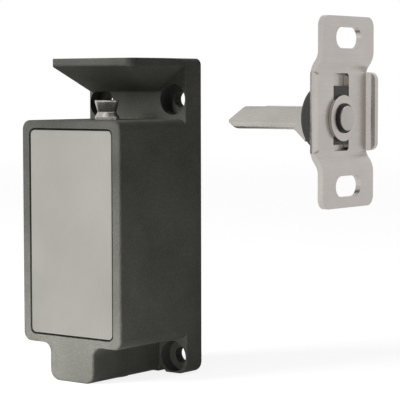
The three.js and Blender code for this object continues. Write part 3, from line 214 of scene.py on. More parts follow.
class Solid:
    """A closed mesh in millimetres that bmesh operators shape."""

    def __init__(self) -> None:
        """Starts empty."""
        self.bm = bmesh.new()

    def _bevel(self, items: list, size: float, steps: int, affect: str) -> None:
        """Rounds vertices or edges.

        Args:
            items: The vertices or edges.
            size: How far the rounding reaches.
            steps: How many facets it has.
            affect: Which of the two they are, in Blender's word.
        """
        bmesh.ops.bevel(
            self.bm, geom=items, offset=size, offset_type="OFFSET", segments=steps, profile=0.5,
            affect=affect, material=-1,
        )

    def _outline(self, axis: Axis, corners: Sequence[Corner], along: float) -> None:
        """Draws one flat face and rounds its corners.

        Args:
            axis: The axis that stands on the face.
            corners: The outline's corners in order.
            along: The face's place along the axis.
        """
        verts = [self.bm.verts.new(axis.point(c.u, c.v, along)) for c in corners]
        self.bm.faces.new(verts)
        count = len(corners)
        for i, corner in enumerate(corners):
            if corner.radius <= 0.0:
                continue
            here = Vector((corner.u, corner.v))
            before = Vector(corners[i - 1][:2]) - here
            after = Vector(corners[(i + 1) % count][:2]) - here
            opening = before.angle(after)
            steps = max(2, round((math.pi - opening) / ARC_STEP))
            self._bevel([verts[i]], corner.radius / math.tan(opening / 2), steps, "VERTICES")

    @classmethod
    def prism(
        cls, axis: Axis, corners: Sequence[Corner], start: float, end: float,
        start_rim: float = 0.0, end_rim: float = 0.0,
    ) -> Solid:
        """Draws an outline out along an axis.

        Args:
            axis: The way out.
            corners: The outline's corners in order.
            start: Where it starts along the axis.
            end: Where it ends.
            start_rim: The rounding of the rim at the start.
            end_rim: The rounding of the rim at the end.

        Returns:
            The closed solid.
        """
        solid = cls()
        solid._outline(axis, corners, start)
        grown = bmesh.ops.extrude_face_region(solid.bm, geom=solid.bm.faces[:])
        moved = [item for item in grown["geom"] if isinstance(item, bmesh.types.BMVert)]
        bmesh.ops.translate(solid.bm, verts=moved, vec=axis.vector(end - start))
        bmesh.ops.recalc_face_normals(solid.bm, faces=solid.bm.faces[:])
        for place, size in ((start, start_rim), (end, end_rim)):
            if size > 0.0:
                solid._round_rim(axis, place, size)
        return solid

    @classmethod
    def turned(
        cls, axis: Axis, profile: Sequence[Corner], centre: Vector, steps: int = ROUND_STEPS,
    ) -> Solid:
        """Turns a profile about an axis.

        Args:
            axis: The line that it turns about.
            profile: Corners of radius and place along the axis, closed on themselves.
            centre: A point on the line, from which places along it count.
            steps: How many steps go round.

        Returns:
            The closed solid.
        """
        solid = cls()
        bm = solid.bm
        across = Axis.X if axis is not Axis.X else Axis.Y
        solid._outline(Axis.Z, profile, 0.0)
        bmesh.ops.delete(bm, geom=bm.faces[:], context="FACES_ONLY")
        on_axis = [e for e in bm.edges if all(abs(v.co.x) < TOUCH for v in e.verts)]
        bmesh.ops.delete(bm, geom=on_axis, context="EDGES")
        for vert in bm.verts:
            vert.co = centre + across.vector(vert.co.x) + axis.vector(vert.co.y)
        bmesh.ops.spin(
            bm, geom=bm.verts[:] + bm.edges[:], cent=centre, axis=axis.vector(), dvec=Vector(),
            angle=math.tau, steps=steps, use_merge=True, use_duplicate=False,
        )
        bmesh.ops.remove_doubles(bm, verts=bm.verts[:], dist=TOUCH)
        bmesh.ops.recalc_face_normals(bm, faces=bm.faces[:])
        return solid

    @classmethod
    def rod(
        cls, axis: Axis, centre: Vector, radius: float, start: float, end: float, steps: int = ROUND_STEPS,
    ) -> Solid:
        """Returns a plain round bar about a line, between two places along it."""
        profile = [Corner(0.0, start), Corner(radius, start), Corner(radius, end), Corner(0.0, end)]
        return cls.turned(axis, profile, centre, steps)

    @classmethod
    def coil(cls, centre: Vector, radius: float, wire: float, length: float, turns: int) -> Solid:
        """Winds a round wire about an upright line.

        Args:
            centre: The foot of the line.
            radius: From the line to the wire's middle.
            wire: The wire's diameter.
            length: The coil's height between the wire's middles.
            turns: How often the wire goes round.

        Returns:
            The closed coil.
        """
        solid = cls()
        bm = solid.bm
        steps = turns * WIRE_STEPS_PER_TURN
        place = Matrix.Translation(centre + Vector((radius, 0.0, wire / 2)))
        upright = place @ Matrix.Rotation(math.pi / 2, 4, "X")
        bmesh.ops.create_circle(bm, segments=WIRE_SIDES, radius=wire / 2, matrix=upright)
        bmesh.ops.spin(
            bm, geom=bm.verts[:] + bm.edges[:], cent=centre, axis=Axis.Z.vector(),
            dvec=Axis.Z.vector(length / steps), angle=math.tau * turns, steps=steps,
            use_merge=False, use_duplicate=False,
        )
        bmesh.ops.holes_fill(bm, edges=[e for e in bm.edges if e.is_boundary], sides=WIRE_SIDES)
        bmesh.ops.recalc_face_normals(bm, faces=bm.faces[:])
        return solid

    def _round_rim(self, axis: Axis, along: float, size: float) -> None:
        """Rounds the edges that lie in one plane across an axis."""
        edges = [e for e in self.bm.edges if all(abs(axis.along(v.co) - along) < TOUCH for v in e.verts)]
        self._bevel(edges, size, RIM_STEPS, "EDGES")

    def turn(self, axis: Axis, angle: float, place: Vector) -> Solid:
        """Turns the solid about an axis through the origin, then moves the origin.

        Args:
            axis: The axis.
            angle: The angle in radians.
            place: Where the origin goes.

        Returns:
            This solid, moved.
        """
        verts = self.bm.verts[:]
        matrix = Matrix.Rotation(angle, 3, axis.name)
        bmesh.ops.rotate(self.bm, verts=verts, cent=Vector(), matrix=matrix)
        bmesh.ops.translate(self.bm, verts=verts, vec=place)
        return self

    def _mesh(self, name: str) -> bpy.types.Mesh:
        """Writes the shape out.

        Args:
            name: The mesh's name.

        Returns:
            The new mesh.
        """
        mesh = bpy.data.meshes.new(name)
        self.bm.to_mesh(mesh)
        return mesh

    def _combine(self, operation: Combine, others: Sequence[Solid]) -> Solid:
        """Joins, cuts or meets this solid with others, one after another.

        Args:
            operation: Which of the three.
            others: The other solids.

        Returns:
            This solid, changed.
        """
        for other in others:
            work = add_object("work", self._mesh("work"))
            tool = add_object("tool", other._mesh("tool"))
            modifier = work.modifiers.new("combine", "BOOLEAN")
            modifier.operation = operation.value
            modifier.solver = "EXACT"
            modifier.object = tool
            depsgraph = bpy.context.evaluated_depsgraph_get()
            result = bpy.data.meshes.new_from_object(work.evaluated_get(depsgraph))
            self.bm.clear()
            self.bm.from_mesh(result)
            spent = [work.data, tool.data, result]
            for obj in (work, tool):
                bpy.data.objects.remove(obj)
            for mesh in spent:
                bpy.data.meshes.remove(mesh)
        return self

    def join(self, *others: Solid) -> Solid:
        """Adds other solids to this one."""
        return self._combine(Combine.JOIN, others)

    def cut(self, *others: Solid) -> Solid:
        """Takes other solids out of this one."""
        return self._combine(Combine.CUT, others)

    def meet(self, *others: Solid) -> Solid:
        """Keeps only what this solid shares with the others."""
        return self._combine(Combine.MEET, others)

    def finished(self, name: str, edge: float) -> bpy.types.Object:
        """Makes the solid an object in the frame's metres.

        Args:
            name: The object's name.
            edge: The rounding of its sharp edges, or 0.

        Returns:
            The new object.
        """
        bmesh.ops.remove_doubles(self.bm, verts=self.bm.verts[:], dist=TOUCH)
        bmesh.ops.scale(self.bm, vec=Vector((MM, MM, MM)), verts=self.bm.verts[:])
        mesh = self._mesh(name)
        self.bm.free()
        mesh.polygons.foreach_set("use_smooth", [True] * len(mesh.polygons))
        mesh.set_sharp_from_angle(angle=SHARP_ANGLE)
        obj = add_object(name, mesh)
        if edge > 0.0:
            bevel = obj.modifiers.new("edge", "BEVEL")
            bevel.width = edge * MM
            bevel.segments = EDGE_STEPS
            bevel.limit_method = "ANGLE"
            bevel.angle_limit = SHARP_ANGLE
            bevel.harden_normals = True
        obj.modifiers.new("flat_faces", "WEIGHTED_NORMAL").keep_sharp = True
        return obj


NOISE_LOW = 0.3
NOISE_HIGH = 0.7


class Nodes:
    """A node tree, with the few nodes that finishes, floor and surround share."""

    def __init__(self, tree: bpy.types.NodeTree) -> None:
        """Takes over a tree."""
        self.tree = tree

    def node(self, kind: str, **inputs: Value) -> bpy.types.Node:
        """Adds a node.

        Args:
            kind: The node's type name.
            inputs: Values or sockets for its inputs, by name, with _ for a space.

        Returns:
            The new node.
        """
        made = self.tree.nodes.new(kind)
        for name, value in inputs.items():
            self.set(made.inputs[name.replace("_", " ")], value)
        return made

    def set(self, socket: Socket, value: Value) -> None:
        """Links a socket to an input, or gives the input a plain value.

        Args:
            socket: The input.
            value: The other socket, or the value.
        """
        if isinstance(value, Socket):
            self.tree.links.new(value, socket)
        else:
            socket.default_value = value

    def math(self, operation: str, first: Value, second: Value) -> Socket:
        """Works out one value from two.

        Args:
            operation: Blender's name of the operation.
            first: The first value or socket.
            second: The second one.

        Returns:
            The result.
        """
        made = self.tree.nodes.new("ShaderNodeMath")
        made.operation = operation
        for socket, value in zip(made.inputs, (first, second)):
            self.set(socket, value)
        return made.outputs[0]

    def spread(
        self, value: Socket, low: float, high: float,
        start: float = NOISE_LOW, end: float = NOISE_HIGH,
    ) -> Socket:
        """Returns a value mapped from start and end onto low and high, and held to that range."""
        names = {"From_Min": start, "From_Max": end, "To_Min": low, "To_Max": high}
        return self.node("ShaderNodeMapRange", Value=value, **names).outputs["Result"]

    def seen(self) -> Socket:
        """Returns 1 for the eye and for reflections, and 0 for other light."""
        rays = self.node("ShaderNodeLightPath").outputs
        return self.math("MAXIMUM", rays["Is Camera Ray"], rays["Is Glossy Ray"])


class Shader(Nodes):
    """A material's node tree round one principled shader."""

    def __init__(self, name: str) -> None:
        """Starts a material with a plain principled shader.

        Args:
            name: The material's name.
        """
        self.material = bpy.data.materials.new(name)
        self.material.use_nodes = True
        super().__init__(self.material.node_tree)
        self.surface = self.tree.nodes["Principled BSDF"]

    def place(self, stretch: Triple = (1.0, 1.0, 1.0)) -> Socket:
        """Returns the piece's own coordinates in metres, stretched along each axis."""
        where = self.node("ShaderNodeTexCoord").outputs["Object"]
        return self.node("ShaderNodeMapping", Vector=where, Scale=stretch).outputs["Vector"]

    def noise(self, place: Socket, grain: float, detail: float = 3.0) -> Socket:
        """Returns cloudy noise about one half, with clouds of a size in millimetres and finer layers."""
        made = self.node("ShaderNodeTexNoise", Vector=place, Scale=1 / (grain * MM), Detail=detail)
        return made.outputs["Fac"]

    def blend(self, factor: Socket, first: Triple | Socket, second: Triple | Socket) -> Socket:
        """Mixes two colours.

        Args:
            factor: How much of the second shows.
            first: The first colour or colour socket.
            second: The second one.

        Returns:
            The mixed colour.
        """
        mix = self.tree.nodes.new("ShaderNodeMix")
        mix.data_type = "RGBA"
        colours = [item for item in mix.inputs if item.type == "RGBA"]
        self.set(mix.inputs[0], factor)
        for socket, value in zip(colours, (first, second)):
            self.set(socket, (*value, 1.0) if isinstance(value, tuple) else value)
        return next(item for item in mix.outputs if item.type == "RGBA")

    def bump(self, height: Socket, depth: float) -> None:
        """Raises the surface by a height from 0 to 1, which reaches a depth in millimetres."""
        made = self.node("ShaderNodeBump", Height=height, Distance=depth * MM, Strength=1.0)
        self.set(self.surface.inputs["Normal"], made.outputs["Normal"])

    def put(self, **inputs: Value) -> None:
        """Sets inputs of the principled shader, with _ for a space in a name."""
        for name, value in inputs.items():
            self.set(self.surface.inputs[name.replace("_", " ")], value)


CLOUD_SIZE = 14.0
GRAIN_DETAIL = 4.0
GRAIN_SHADE = 0.7
SPECK_STRENGTH = 0.34
SPECK_CHOICE = 0.45
STREAK_DETAIL = 5.0
STREAK_SHADE = 0.5
WAVE_TURN = 20.0
WHITE = (1.0, 1.0, 1.0, 1.0)
BLACK = (0.0, 0.0, 0.0, 1.0)


@dataclass(frozen=True)
class Coat:
    """Paint, rubber or plastic: a matt coat with grain and, where it has them, pale specks."""

    name: str
    colour: Triple
    shade: Triple
    roughness: tuple[float, float]
    grain: float
    depth: float
    speck: Triple | None = None
    speck_cell: float = 0.5
    speck_reach: float = 0.36
    gloss: float = 0.5

    def material(self) -> bpy.types.Material:
        """Builds the coat's nodes.

        Returns:
            The material.
        """
        shader = Shader(self.name)
        place = shader.place()
        clouds = shader.noise(place, grain=CLOUD_SIZE)
        fine = shader.noise(place, grain=self.grain, detail=GRAIN_DETAIL)
        colour = shader.blend(shader.spread(clouds, 0.0, 1.0), self.shade, self.colour)
        colour = shader.blend(shader.spread(fine, 0.0, GRAIN_SHADE), colour, self.shade)
        if self.speck:
            colour = shader.blend(self._specks(shader, place), colour, self.speck)
        rough = shader.spread(fine, *self.roughness)
        shader.put(Base_Color=colour, Roughness=rough, Specular_IOR_Level=self.gloss)
        shader.bump(fine, depth=self.depth)
        return shader.material

    def _specks(self, shader: Shader, place: Socket) -> Socket:
        """Scatters small pale specks, one in some of the cells.

        Args:
            shader: The material that they go into.
            place: The coordinates.

        Returns:
            How much of the speck's colour shows.
        """
        cells = shader.node("ShaderNodeTexVoronoi", Vector=place, Scale=1 / (self.speck_cell * MM)).outputs
        near = shader.spread(cells["Distance"], 1.0, 0.0, self.speck_reach / 2, self.speck_reach)
        chosen = shader.node("ShaderNodeSeparateColor", Color=cells["Color"]).outputs["Red"]
        return shader.math("MULTIPLY", near, shader.spread(chosen, 0.0, SPECK_STRENGTH, SPECK_CHOICE, 1.0))


@dataclass(frozen=True)
class Metal:
    """Bare or plated metal: cloudy tone with fine streaks along one direction."""

    name: str
    colour: Triple
    shade: Triple
    roughness: tuple[float, float]
    streak: Triple = (1.0, 1.0, 1.0)
    streak_grain: float = 0.25
    depth: float = 0.002
    cloud: float = 9.0

    def material(self) -> bpy.types.Material:
        """Builds the metal's nodes.

        Returns:
            The material.
        """
        shader = Shader(self.name)
        streaks = shader.noise(shader.place(self.streak), grain=self.streak_grain, detail=STREAK_DETAIL)
        clouds = shader.noise(shader.place(), grain=self.cloud)
        colour = shader.blend(shader.spread(clouds, 0.0, 1.0), self.shade, self.colour)
        colour = shader.blend(shader.spread(streaks, 0.0, STREAK_SHADE), colour, self.shade)
        shader.put(Base_Color=colour, Metallic=1.0, Roughness=shader.spread(streaks, *self.roughness))
        shader.bump(streaks, depth=self.depth)
        return shader.material


@dataclass(frozen=True)
class WoundCopper:
    """Enamelled wire: bands as wide as the wire run round the coil."""

    name: str
    colour: Triple
    shade: Triple
    wire: float
    metallic: float = 0.8
    roughness: tuple[float, float] = (0.5, 0.3)

    def material(self) -> bpy.types.Material:
        """Builds the winding's nodes.

        Returns:
            The material.
        """
        shader = Shader(self.name)
        scale = math.tau / (WAVE_TURN * self.wire * MM)
        waves = shader.node("ShaderNodeTexWave", Vector=shader.place(), Scale=scale)
        waves.bands_direction = "Z"
        turns = waves.outputs["Fac"]
        rough = shader.spread(turns, *self.roughness)
        colour = shader.blend(turns, self.shade, self.colour)
        shader.put(Base_Color=colour, Metallic=self.metallic, Roughness=rough)
        shader.bump(turns, depth=self.wire / 3)
        return shader.material


@dataclass(frozen=True)
class SolderMask:
    """A board's lacquer, with paler copper tracks under it."""

    name: str
    colour: Triple
    track: Triple
    cell: float
    track_share: float = 0.06
    track_height: float = 0.03
    grain: float = 2.0
    roughness: tuple[float, float] = (0.25, 0.4)

    def material(self) -> bpy.types.Material:
        """Builds the lacquer's nodes.

        Returns:
            The material.
        """
        shader = Shader(self.name)
        place = shader.place()
        tracks = shader.node(
            "ShaderNodeTexBrick", Vector=place, Scale=1 / (self.cell * MM), Mortar_Size=self.track_share,
            Color1=WHITE, Color2=WHITE, Mortar=BLACK,
        ).outputs["Fac"]
        rough = shader.spread(shader.noise(place, grain=self.grain), *self.roughness)
        shader.put(Base_Color=shader.blend(tracks, self.colour, self.track), Roughness=rough)
        shader.bump(tracks, depth=self.track_height)
        return shader.material


UPRIGHT_BRUSH = (40.0, 40.0, 1.0)
ACROSS_BRUSH = (12.0, 1.0, 12.0)
ALONG_BRUSH = (1.0, 14.0, 14.0)

FINISHES: dict[Slot, Coat | Metal | WoundCopper | SolderMask] = {
    Slot.POWDER_COAT: Coat(
        "powder_coat", (0.125, 0.125, 0.112), (0.078, 0.078, 0.068), (0.6, 0.75), 0.45, 0.16,
        speck=(0.25, 0.25, 0.25), gloss=0.04,
    ),
    Slot.BRUSHED_STAINLESS: Metal(
        "brushed_stainless", (0.45, 0.436, 0.402), (0.375, 0.364, 0.334), (0.3, 0.44),
        streak=UPRIGHT_BRUSH, streak_grain=4.0, depth=0.003, cloud=26.0,
    ),
    Slot.BLACK_SHEET: Metal(
        "black_oxide", (0.045, 0.044, 0.042), (0.026, 0.026, 0.026), (0.36, 0.52), streak_grain=0.6,
    ),
    Slot.ZINC_SCREW: Metal(
        "zinc_plate", (0.56, 0.56, 0.55), (0.42, 0.42, 0.41), (0.24, 0.38), streak_grain=0.7, cloud=2.5,
    ),
    Slot.RUBBER: Coat(
        "black_rubber", (0.036, 0.034, 0.030), (0.022, 0.021, 0.019), (0.62, 0.8), 0.3, 0.02,
    ),
    Slot.POLISHED_STEEL: Metal(
        "polished_steel", (0.46, 0.435, 0.405), (0.38, 0.36, 0.335), (0.24, 0.34),
        streak=ALONG_BRUSH, streak_grain=3.0, depth=0.0015,
    ),
    Slot.PLATED_STEEL: Metal(
        "nickel_plate", (0.49, 0.46, 0.432), (0.45, 0.42, 0.394), (0.26, 0.33),
        streak=ACROSS_BRUSH, streak_grain=9.0, depth=0.0003,
    ),
    Slot.BRONZE: Metal(
        "sintered_bronze", (0.46, 0.3, 0.12), (0.3, 0.18, 0.07), (0.32, 0.5), streak_grain=0.35,
    ),
    Slot.COPPER: WoundCopper("wound_copper", (0.45, 0.13, 0.04), (0.14, 0.035, 0.012), 0.35),
    Slot.BLACK_PLASTIC: Coat(
        "black_plastic", (0.026, 0.026, 0.024), (0.016, 0.016, 0.015), (0.4, 0.56), 0.5, 0.012,
    ),
    Slot.WHITE_PLASTIC: Coat(
        "white_acetal", (0.74, 0.72, 0.66), (0.64, 0.62, 0.56), (0.38, 0.5), 0.6, 0.008,
    ),
    Slot.GREEN_PLASTIC: Coat(
        "green_plastic", (0.05, 0.2, 0.075), (0.035, 0.15, 0.055), (0.4, 0.55), 0.5, 0.01,
    ),
    Slot.BOARD_GREEN: SolderMask("solder_mask", (0.012, 0.075, 0.032), (0.03, 0.14, 0.06), 3.4),
}


class Paints:
    """The node materials of all finishes, each made once."""

    def __init__(self) -> None:
        """Builds every finish of the table."""
        self._made = {slot: finish.material() for slot, finish in FINISHES.items()}

    def piece(
        self, solid: Solid, node: str, form: str, slot: Slot, body: Body, edge: float = 0.0,
    ) -> bpy.types.Object:
        """Makes a solid the finished piece that stands for a CAD node.

        Args:
            solid: The shape.
            node: The CAD node.
            form: The word that the piece's name adds to the node's.
            slot: The finish.
            body: The CAD body that it rides on.
            edge: The rounding of its sharp edges.

        Returns:
            The piece.
        """
        obj = solid.finished(f"{node}_{form}", edge)
        obj.data.materials.append(self._made[slot])
        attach(obj, body.value)
        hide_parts(node)
        LOG.info("%s stands for %s on %s, %d faces", obj.name, node, body.value, len(obj.data.polygons))
        return obj

    def coat(self, node: bpy.types.Object, slot: Slot) -> None:
        """Gives a CAD node its finish.

        Args:
            node: The node's object.
            slot: The finish.
        """
        if node.material_slots:
            node.material_slots[0].material = self._made[slot]
        else:
            node.data.materials.append(self._made[slot])
        LOG.info("%s is dressed in %s", node.name, slot.value)


FACE_CORNER = 1.4
FACE_EDGE = 0.4
COVER_CORNER = 1.2
COVER_SCREWS = 4
CAST_EDGE = 0.35
BUSH_RADIUS = 4.63


@dataclass
class LockCase:
    """The die-cast case: box, back plate, hood and lug, with the plates that close it."""

    paints: Paints
    plate_thickness: float = 6.8
    box_foot: float = 10.0
    box_height: float = 60.65
    mouth_height: float = 7.65
    hood_lip: float = 2.1
    hood_reach: float = 26.6
    hood_root_width: float = 34.0
    hood_tip_width: float = 27.8
    hood_flare_foot: float = 7.5
    lug_width: float = 15.6
    wall: float = 2.5
    front_wall: float = 2.4
    box_corner: float = 2.5
    lug_corner: float = 3.0
    lug_fillet: float = 2.5
    foot_corner: float = 3.0
    top_corner: float = 1.8
    front_edge: float = 0.7
    plate_edge: float = 0.5
    lip_corner: float = 0.8
    bolt_side_corner: float = 3.0
    notch_width: float = 2.9
    notch_height: float = 1.4
    notch_outward: float = 0.725
    fixing_bore: float = 4.5
    counterbore: float = 8.6
    counterbore_depth: float = 3.8
    fixing_rim: float = 0.4
    fixing_over_box: float = 1.2
    fixing_near_box: float = 0.05
    face_gap: float = 0.4
    glue_line: float = 0.1
    cover_gap: float = 0.2
    cover_hole_gap: float = 0.1
    screw_thread: float = 2.5
    screw_tip: float = 0.2
    screw_head: float = 4.7
    screw_head_height: float = 1.3
    cross_arm_share: float = 0.56
    cross_blade_share: float = 0.15
    cross_depth_share: float = 0.65
    press_gap: float = 0.05
    grommet_radius: float = 4.5
    grommet_bore: float = 6.4
    grommet_flange: float = 1.5
    grommet_foot_edge: float = 0.5
    grommet_top_edge: float = 0.3

    def __post_init__(self) -> None:
        """Takes the outer sizes from the frame."""
        self.outer = Box.of("housing")
        self.face = Box.of("front_plate")
        self.cover = Box.of("rear_cover")
        self.half_width = self.outer.size.x / 2
        self.foot, self.top = self.outer.low.z, self.outer.high.z
        self.front, self.back = self.outer.low.y, self.outer.high.y
        self.plate_front = self.back - self.plate_thickness
        self.lip = self.back - self.hood_reach
        self.box_low = self.foot + self.box_foot
        self.box_top = self.box_low + self.box_height
        self.ramp_foot = self.box_top + self.mouth_height
        self.latch_line = Vector((0.0, Box.of("latch_rod").centre.y, 0.0))

    def _box_outline(self) -> list[Corner]:
        """Draws the box and the lug under it, from the front.

        Returns:
            The outline's corners.
        """
        lug, half = self.lug_width / 2, self.half_width
        return [
            Corner(-lug, self.foot, self.lug_corner), Corner(lug, self.foot, self.lug_corner),
            Corner(lug, self.box_low, self.lug_fillet), Corner(half, self.box_low, self.box_corner),
            Corner(half, self.box_top, self.box_corner), Corner(-half, self.box_top, self.box_corner),
            Corner(-half, self.box_low, self.box_corner), Corner(-lug, self.box_low, self.lug_fillet),
        ]

    def _plate_outline(self) -> list[Corner]:
        """Draws the back plate, with a notch in its foot beside each side of the lug.

        Returns:
            The outline's corners.
        """
        middle = self.lug_width / 2 + self.notch_outward
        near, far = middle - self.notch_width / 2, middle + self.notch_width / 2
        notch, half = self.foot + self.notch_height, self.half_width
        return [
            Corner(-far, self.foot), Corner(-middle, notch), Corner(-near, self.foot),
            Corner(near, self.foot), Corner(middle, notch), Corner(far, self.foot),
            Corner(half, self.foot, self.foot_corner), Corner(half, self.top, self.top_corner),
            Corner(-half, self.top, self.top_corner), Corner(-half, self.foot, self.foot_corner),
        ]

    def _hood_plan(self) -> list[Corner]:
        """Draws the hood from above, narrower at its lip than at the plate.

        Returns:
            The outline's corners.
        """
        root, tip = self.hood_root_width / 2, self.hood_tip_width / 2
        rear, face = self.back - self.plate_edge, self.plate_front
        return [
            Corner(-root, rear), Corner(-root, face), Corner(-tip, self.lip, self.lip_corner),
            Corner(tip, self.lip, self.bolt_side_corner), Corner(root, face), Corner(root, rear),
        ]

    def _hood_flare(self) -> Solid:
        """Makes what bevels the hood's underside up to its lip on the bolt's side.

        Returns:
            The cutter.
        """
        root = self.hood_root_width / 2
        run, rise = root - self.hood_flare_foot, self.top - self.hood_lip - self.ramp_foot
        low, foot = self.ramp_foot - self.mouth_height, self.ramp_foot
        below = [Corner(-run, low), Corner(run, low), Corner(run, foot + 2 * rise), Corner(-run, foot)]
        taper = math.atan2(root - self.hood_tip_width / 2, self.hood_reach - self.plate_thickness)
        wedge = Solid.prism(Axis.Y, below, -self.hood_reach, self.plate_thickness)
        return wedge.turn(Axis.Z, -taper, Vector((root, self.plate_front, 0.0)))

    def _hood(self) -> Solid:
        """Makes the hood, whose underside slopes up to its lip and to the bolt's side.

        Returns:
            The hood, with a root in the plate.
        """
        rear, lip = self.back - self.plate_edge, self.lip
        side = [
            Corner(rear, self.ramp_foot), Corner(rear, self.top), Corner(lip, self.top, self.lip_corner),
            Corner(lip, self.top - self.hood_lip, self.lip_corner),
            Corner(self.plate_front, self.ramp_foot),
        ]
        wedge = Solid.prism(Axis.X, side, -self.half_width, self.half_width)
        plan = Solid.prism(Axis.Z, self._hood_plan(), self.ramp_foot - CUT_PAST, self.top + CUT_PAST)
        bound = Solid.prism(Axis.Y, self._plate_outline(), lip - CUT_PAST, self.back)
        return wedge.meet(plan, bound).cut(self._hood_flare())

    def _fixing_cutters(self) -> list[Solid]:
        """Makes what cuts the four counterbored fixing holes, one of them cut off by the hood's root.

        Returns:
            The cutters.
        """
        wide, narrow = self.counterbore / 2, self.fixing_bore / 2
        across = self.half_width - wide - self.fixing_rim
        low = self.foot + wide + self.fixing_rim
        high = self.box_top + self.fixing_over_box + wide
        hooded = self.box_top + self.fixing_near_box + wide
        floor = self.counterbore_depth - self.plate_thickness
        start = -self.plate_thickness - CUT_PAST
        profile = [
            Corner(0.0, start), Corner(wide, start), Corner(wide, floor), Corner(narrow, floor),
            Corner(narrow, CUT_PAST), Corner(0.0, CUT_PAST),
        ]
        places = ((-across, low), (across, low), (across, high), (-across, hooded))
        cutters = [Solid.turned(Axis.Y, profile, Vector((x, self.back, z))) for x, z in places]
        span = 2 * self.counterbore
        below = rectangle(-across, self.ramp_foot - span / 2, span, span)
        cutters[-1].meet(Solid.prism(Axis.Y, below, 2 * start, self.back + 2 * CUT_PAST))
        return cutters

    def _hollows(self) -> list[Solid]:
        """Makes what cuts the room inside, the two plates' seats and the bores on the latch's line.

        Returns:
            The cutters.
        """
        beyond, below = self.back + CUT_PAST, self.foot - CUT_PAST
        room = rectangle(
            0.0, (self.box_low + self.box_top) / 2, 2 * (self.half_width - self.wall),
            self.box_height - 2 * self.wall, COVER_CORNER,
        )
        seat = self.face.front_outline(FACE_CORNER + self.face_gap, self.face_gap)
        seat_floor = self.face.high.y + self.glue_line
        rebate = self.cover.front_outline(COVER_CORNER, self.cover_gap)
        flange = Box.of("cable_grommet").size.x / 2
        bores = (
            (BUSH_RADIUS, Box.of("latch_bushing").low.z, self.box_top + CUT_PAST),
            (self.grommet_radius, below, self.box_low + 2 * self.wall),
            (flange, below, self.foot + self.grommet_flange),
        )
        return [
            Solid.prism(Axis.Y, room, seat_floor + self.front_wall, beyond),
            Solid.prism(Axis.Y, seat, self.front - CUT_PAST, seat_floor),
            Solid.prism(Axis.Y, rebate, self.cover.low.y, beyond),
            *(
                Solid.rod(Axis.Z, self.latch_line, radius + self.press_gap, start, end)
                for radius, start, end in bores
            ),
        ]

    def _housing(self) -> None:
        """Builds the casting."""
        box = Solid.prism(
            Axis.Y, self._box_outline(), self.front, self.back - self.plate_thickness / 2,
            start_rim=self.front_edge,
        )
        plate = Solid.prism(
            Axis.Y, self._plate_outline(), self.plate_front, self.back,
            start_rim=self.plate_edge, end_rim=self.press_gap,
        )
        casting = box.join(plate, self._hood()).cut(*self._hollows(), *self._fixing_cutters())
        self.paints.piece(casting, "housing", "casting", Slot.POWDER_COAT, Body.LOCK, CAST_EDGE)

    def _front_plate(self) -> None:
        """Builds the stainless plate that is glued into the front."""
        outline = self.face.front_outline(FACE_CORNER)
        plate = Solid.prism(Axis.Y, outline, self.face.low.y, self.face.high.y, start_rim=FACE_EDGE)
        self.paints.piece(plate, "front_plate", "brushed", Slot.BRUSHED_STAINLESS, Body.LOCK)

    def _rear_cover(self) -> None:
        """Builds the cover in the mounting face and its four countersunk screws."""
        cover = self.cover
        outline = cover.front_outline(COVER_CORNER)
        sheet = Solid.prism(Axis.Y, outline, cover.low.y, cover.high.y, end_rim=self.press_gap)
        for number in range(1, COVER_SCREWS + 1):
            node = f"rear_cover_screw_{number}"
            screw = Box.of(node)
            top = Vector((screw.centre.x, screw.high.y, screw.centre.z))
            sheet.cut(self._countersink(top))
            self._screw(node, top, screw.size.y)
        self.paints.piece(sheet, "rear_cover", "sheet", Slot.BLACK_SHEET, Body.LOCK)

    def _countersink(self, top: Vector) -> Solid:
        """Makes what cuts one countersunk hole of the cover.

        Args:
            top: The middle of the hole's rim.

        Returns:
            The cutter.
        """
        shank = self.screw_thread / 2 + self.cover_hole_gap
        rim = self.screw_head / 2 + self.cover_hole_gap
        seat = -self.screw_head_height - self.cover_hole_gap
        foot = -self.cover.size.y - CUT_PAST
        profile = [
            Corner(0.0, foot), Corner(shank, foot), Corner(shank, seat), Corner(rim, 0.0),
            Corner(rim, CUT_PAST), Corner(0.0, CUT_PAST),
        ]
        return Solid.turned(Axis.Y, profile, top, SMALL_ROUND_STEPS)

    def _cross_recess(self, top: Vector) -> list[Solid]:
        """Makes the two bars that cut a cross into a screw's head.

        Args:
            top: The middle of the head's top, which faces +Y.

        Returns:
            The two bars.
        """
        arm, blade = self.cross_arm_share * self.screw_head, self.cross_blade_share * self.screw_head
        floor = top.y - self.cross_depth_share * self.screw_head_height
        bars = [rectangle(top.x, top.z, *size, blade / 4) for size in ((arm, blade), (blade, arm))]
        return [Solid.prism(Axis.Y, bar, floor, top.y + CUT_PAST) for bar in bars]

    def _screw(self, node: str, top: Vector, length: float) -> None:
        """Builds one countersunk screw with a cross recess.

        Args:
            node: The CAD node that it stands for.
            top: The middle of the head.
            length: The screw's whole length.
        """
        shank, rim = self.screw_thread / 2, self.screw_head / 2
        profile = [
            Corner(0.0, -length), Corner(shank, -length, self.screw_tip),
            Corner(shank, -self.screw_head_height), Corner(rim, -self.press_gap),
            Corner(rim - self.press_gap, 0.0), Corner(0.0, 0.0),
        ]
        screw = Solid.turned(Axis.Y, profile, top, SMALL_ROUND_STEPS).cut(*self._cross_recess(top))
        self.paints.piece(screw, node, "driven", Slot.ZINC_SCREW, Body.LOCK)

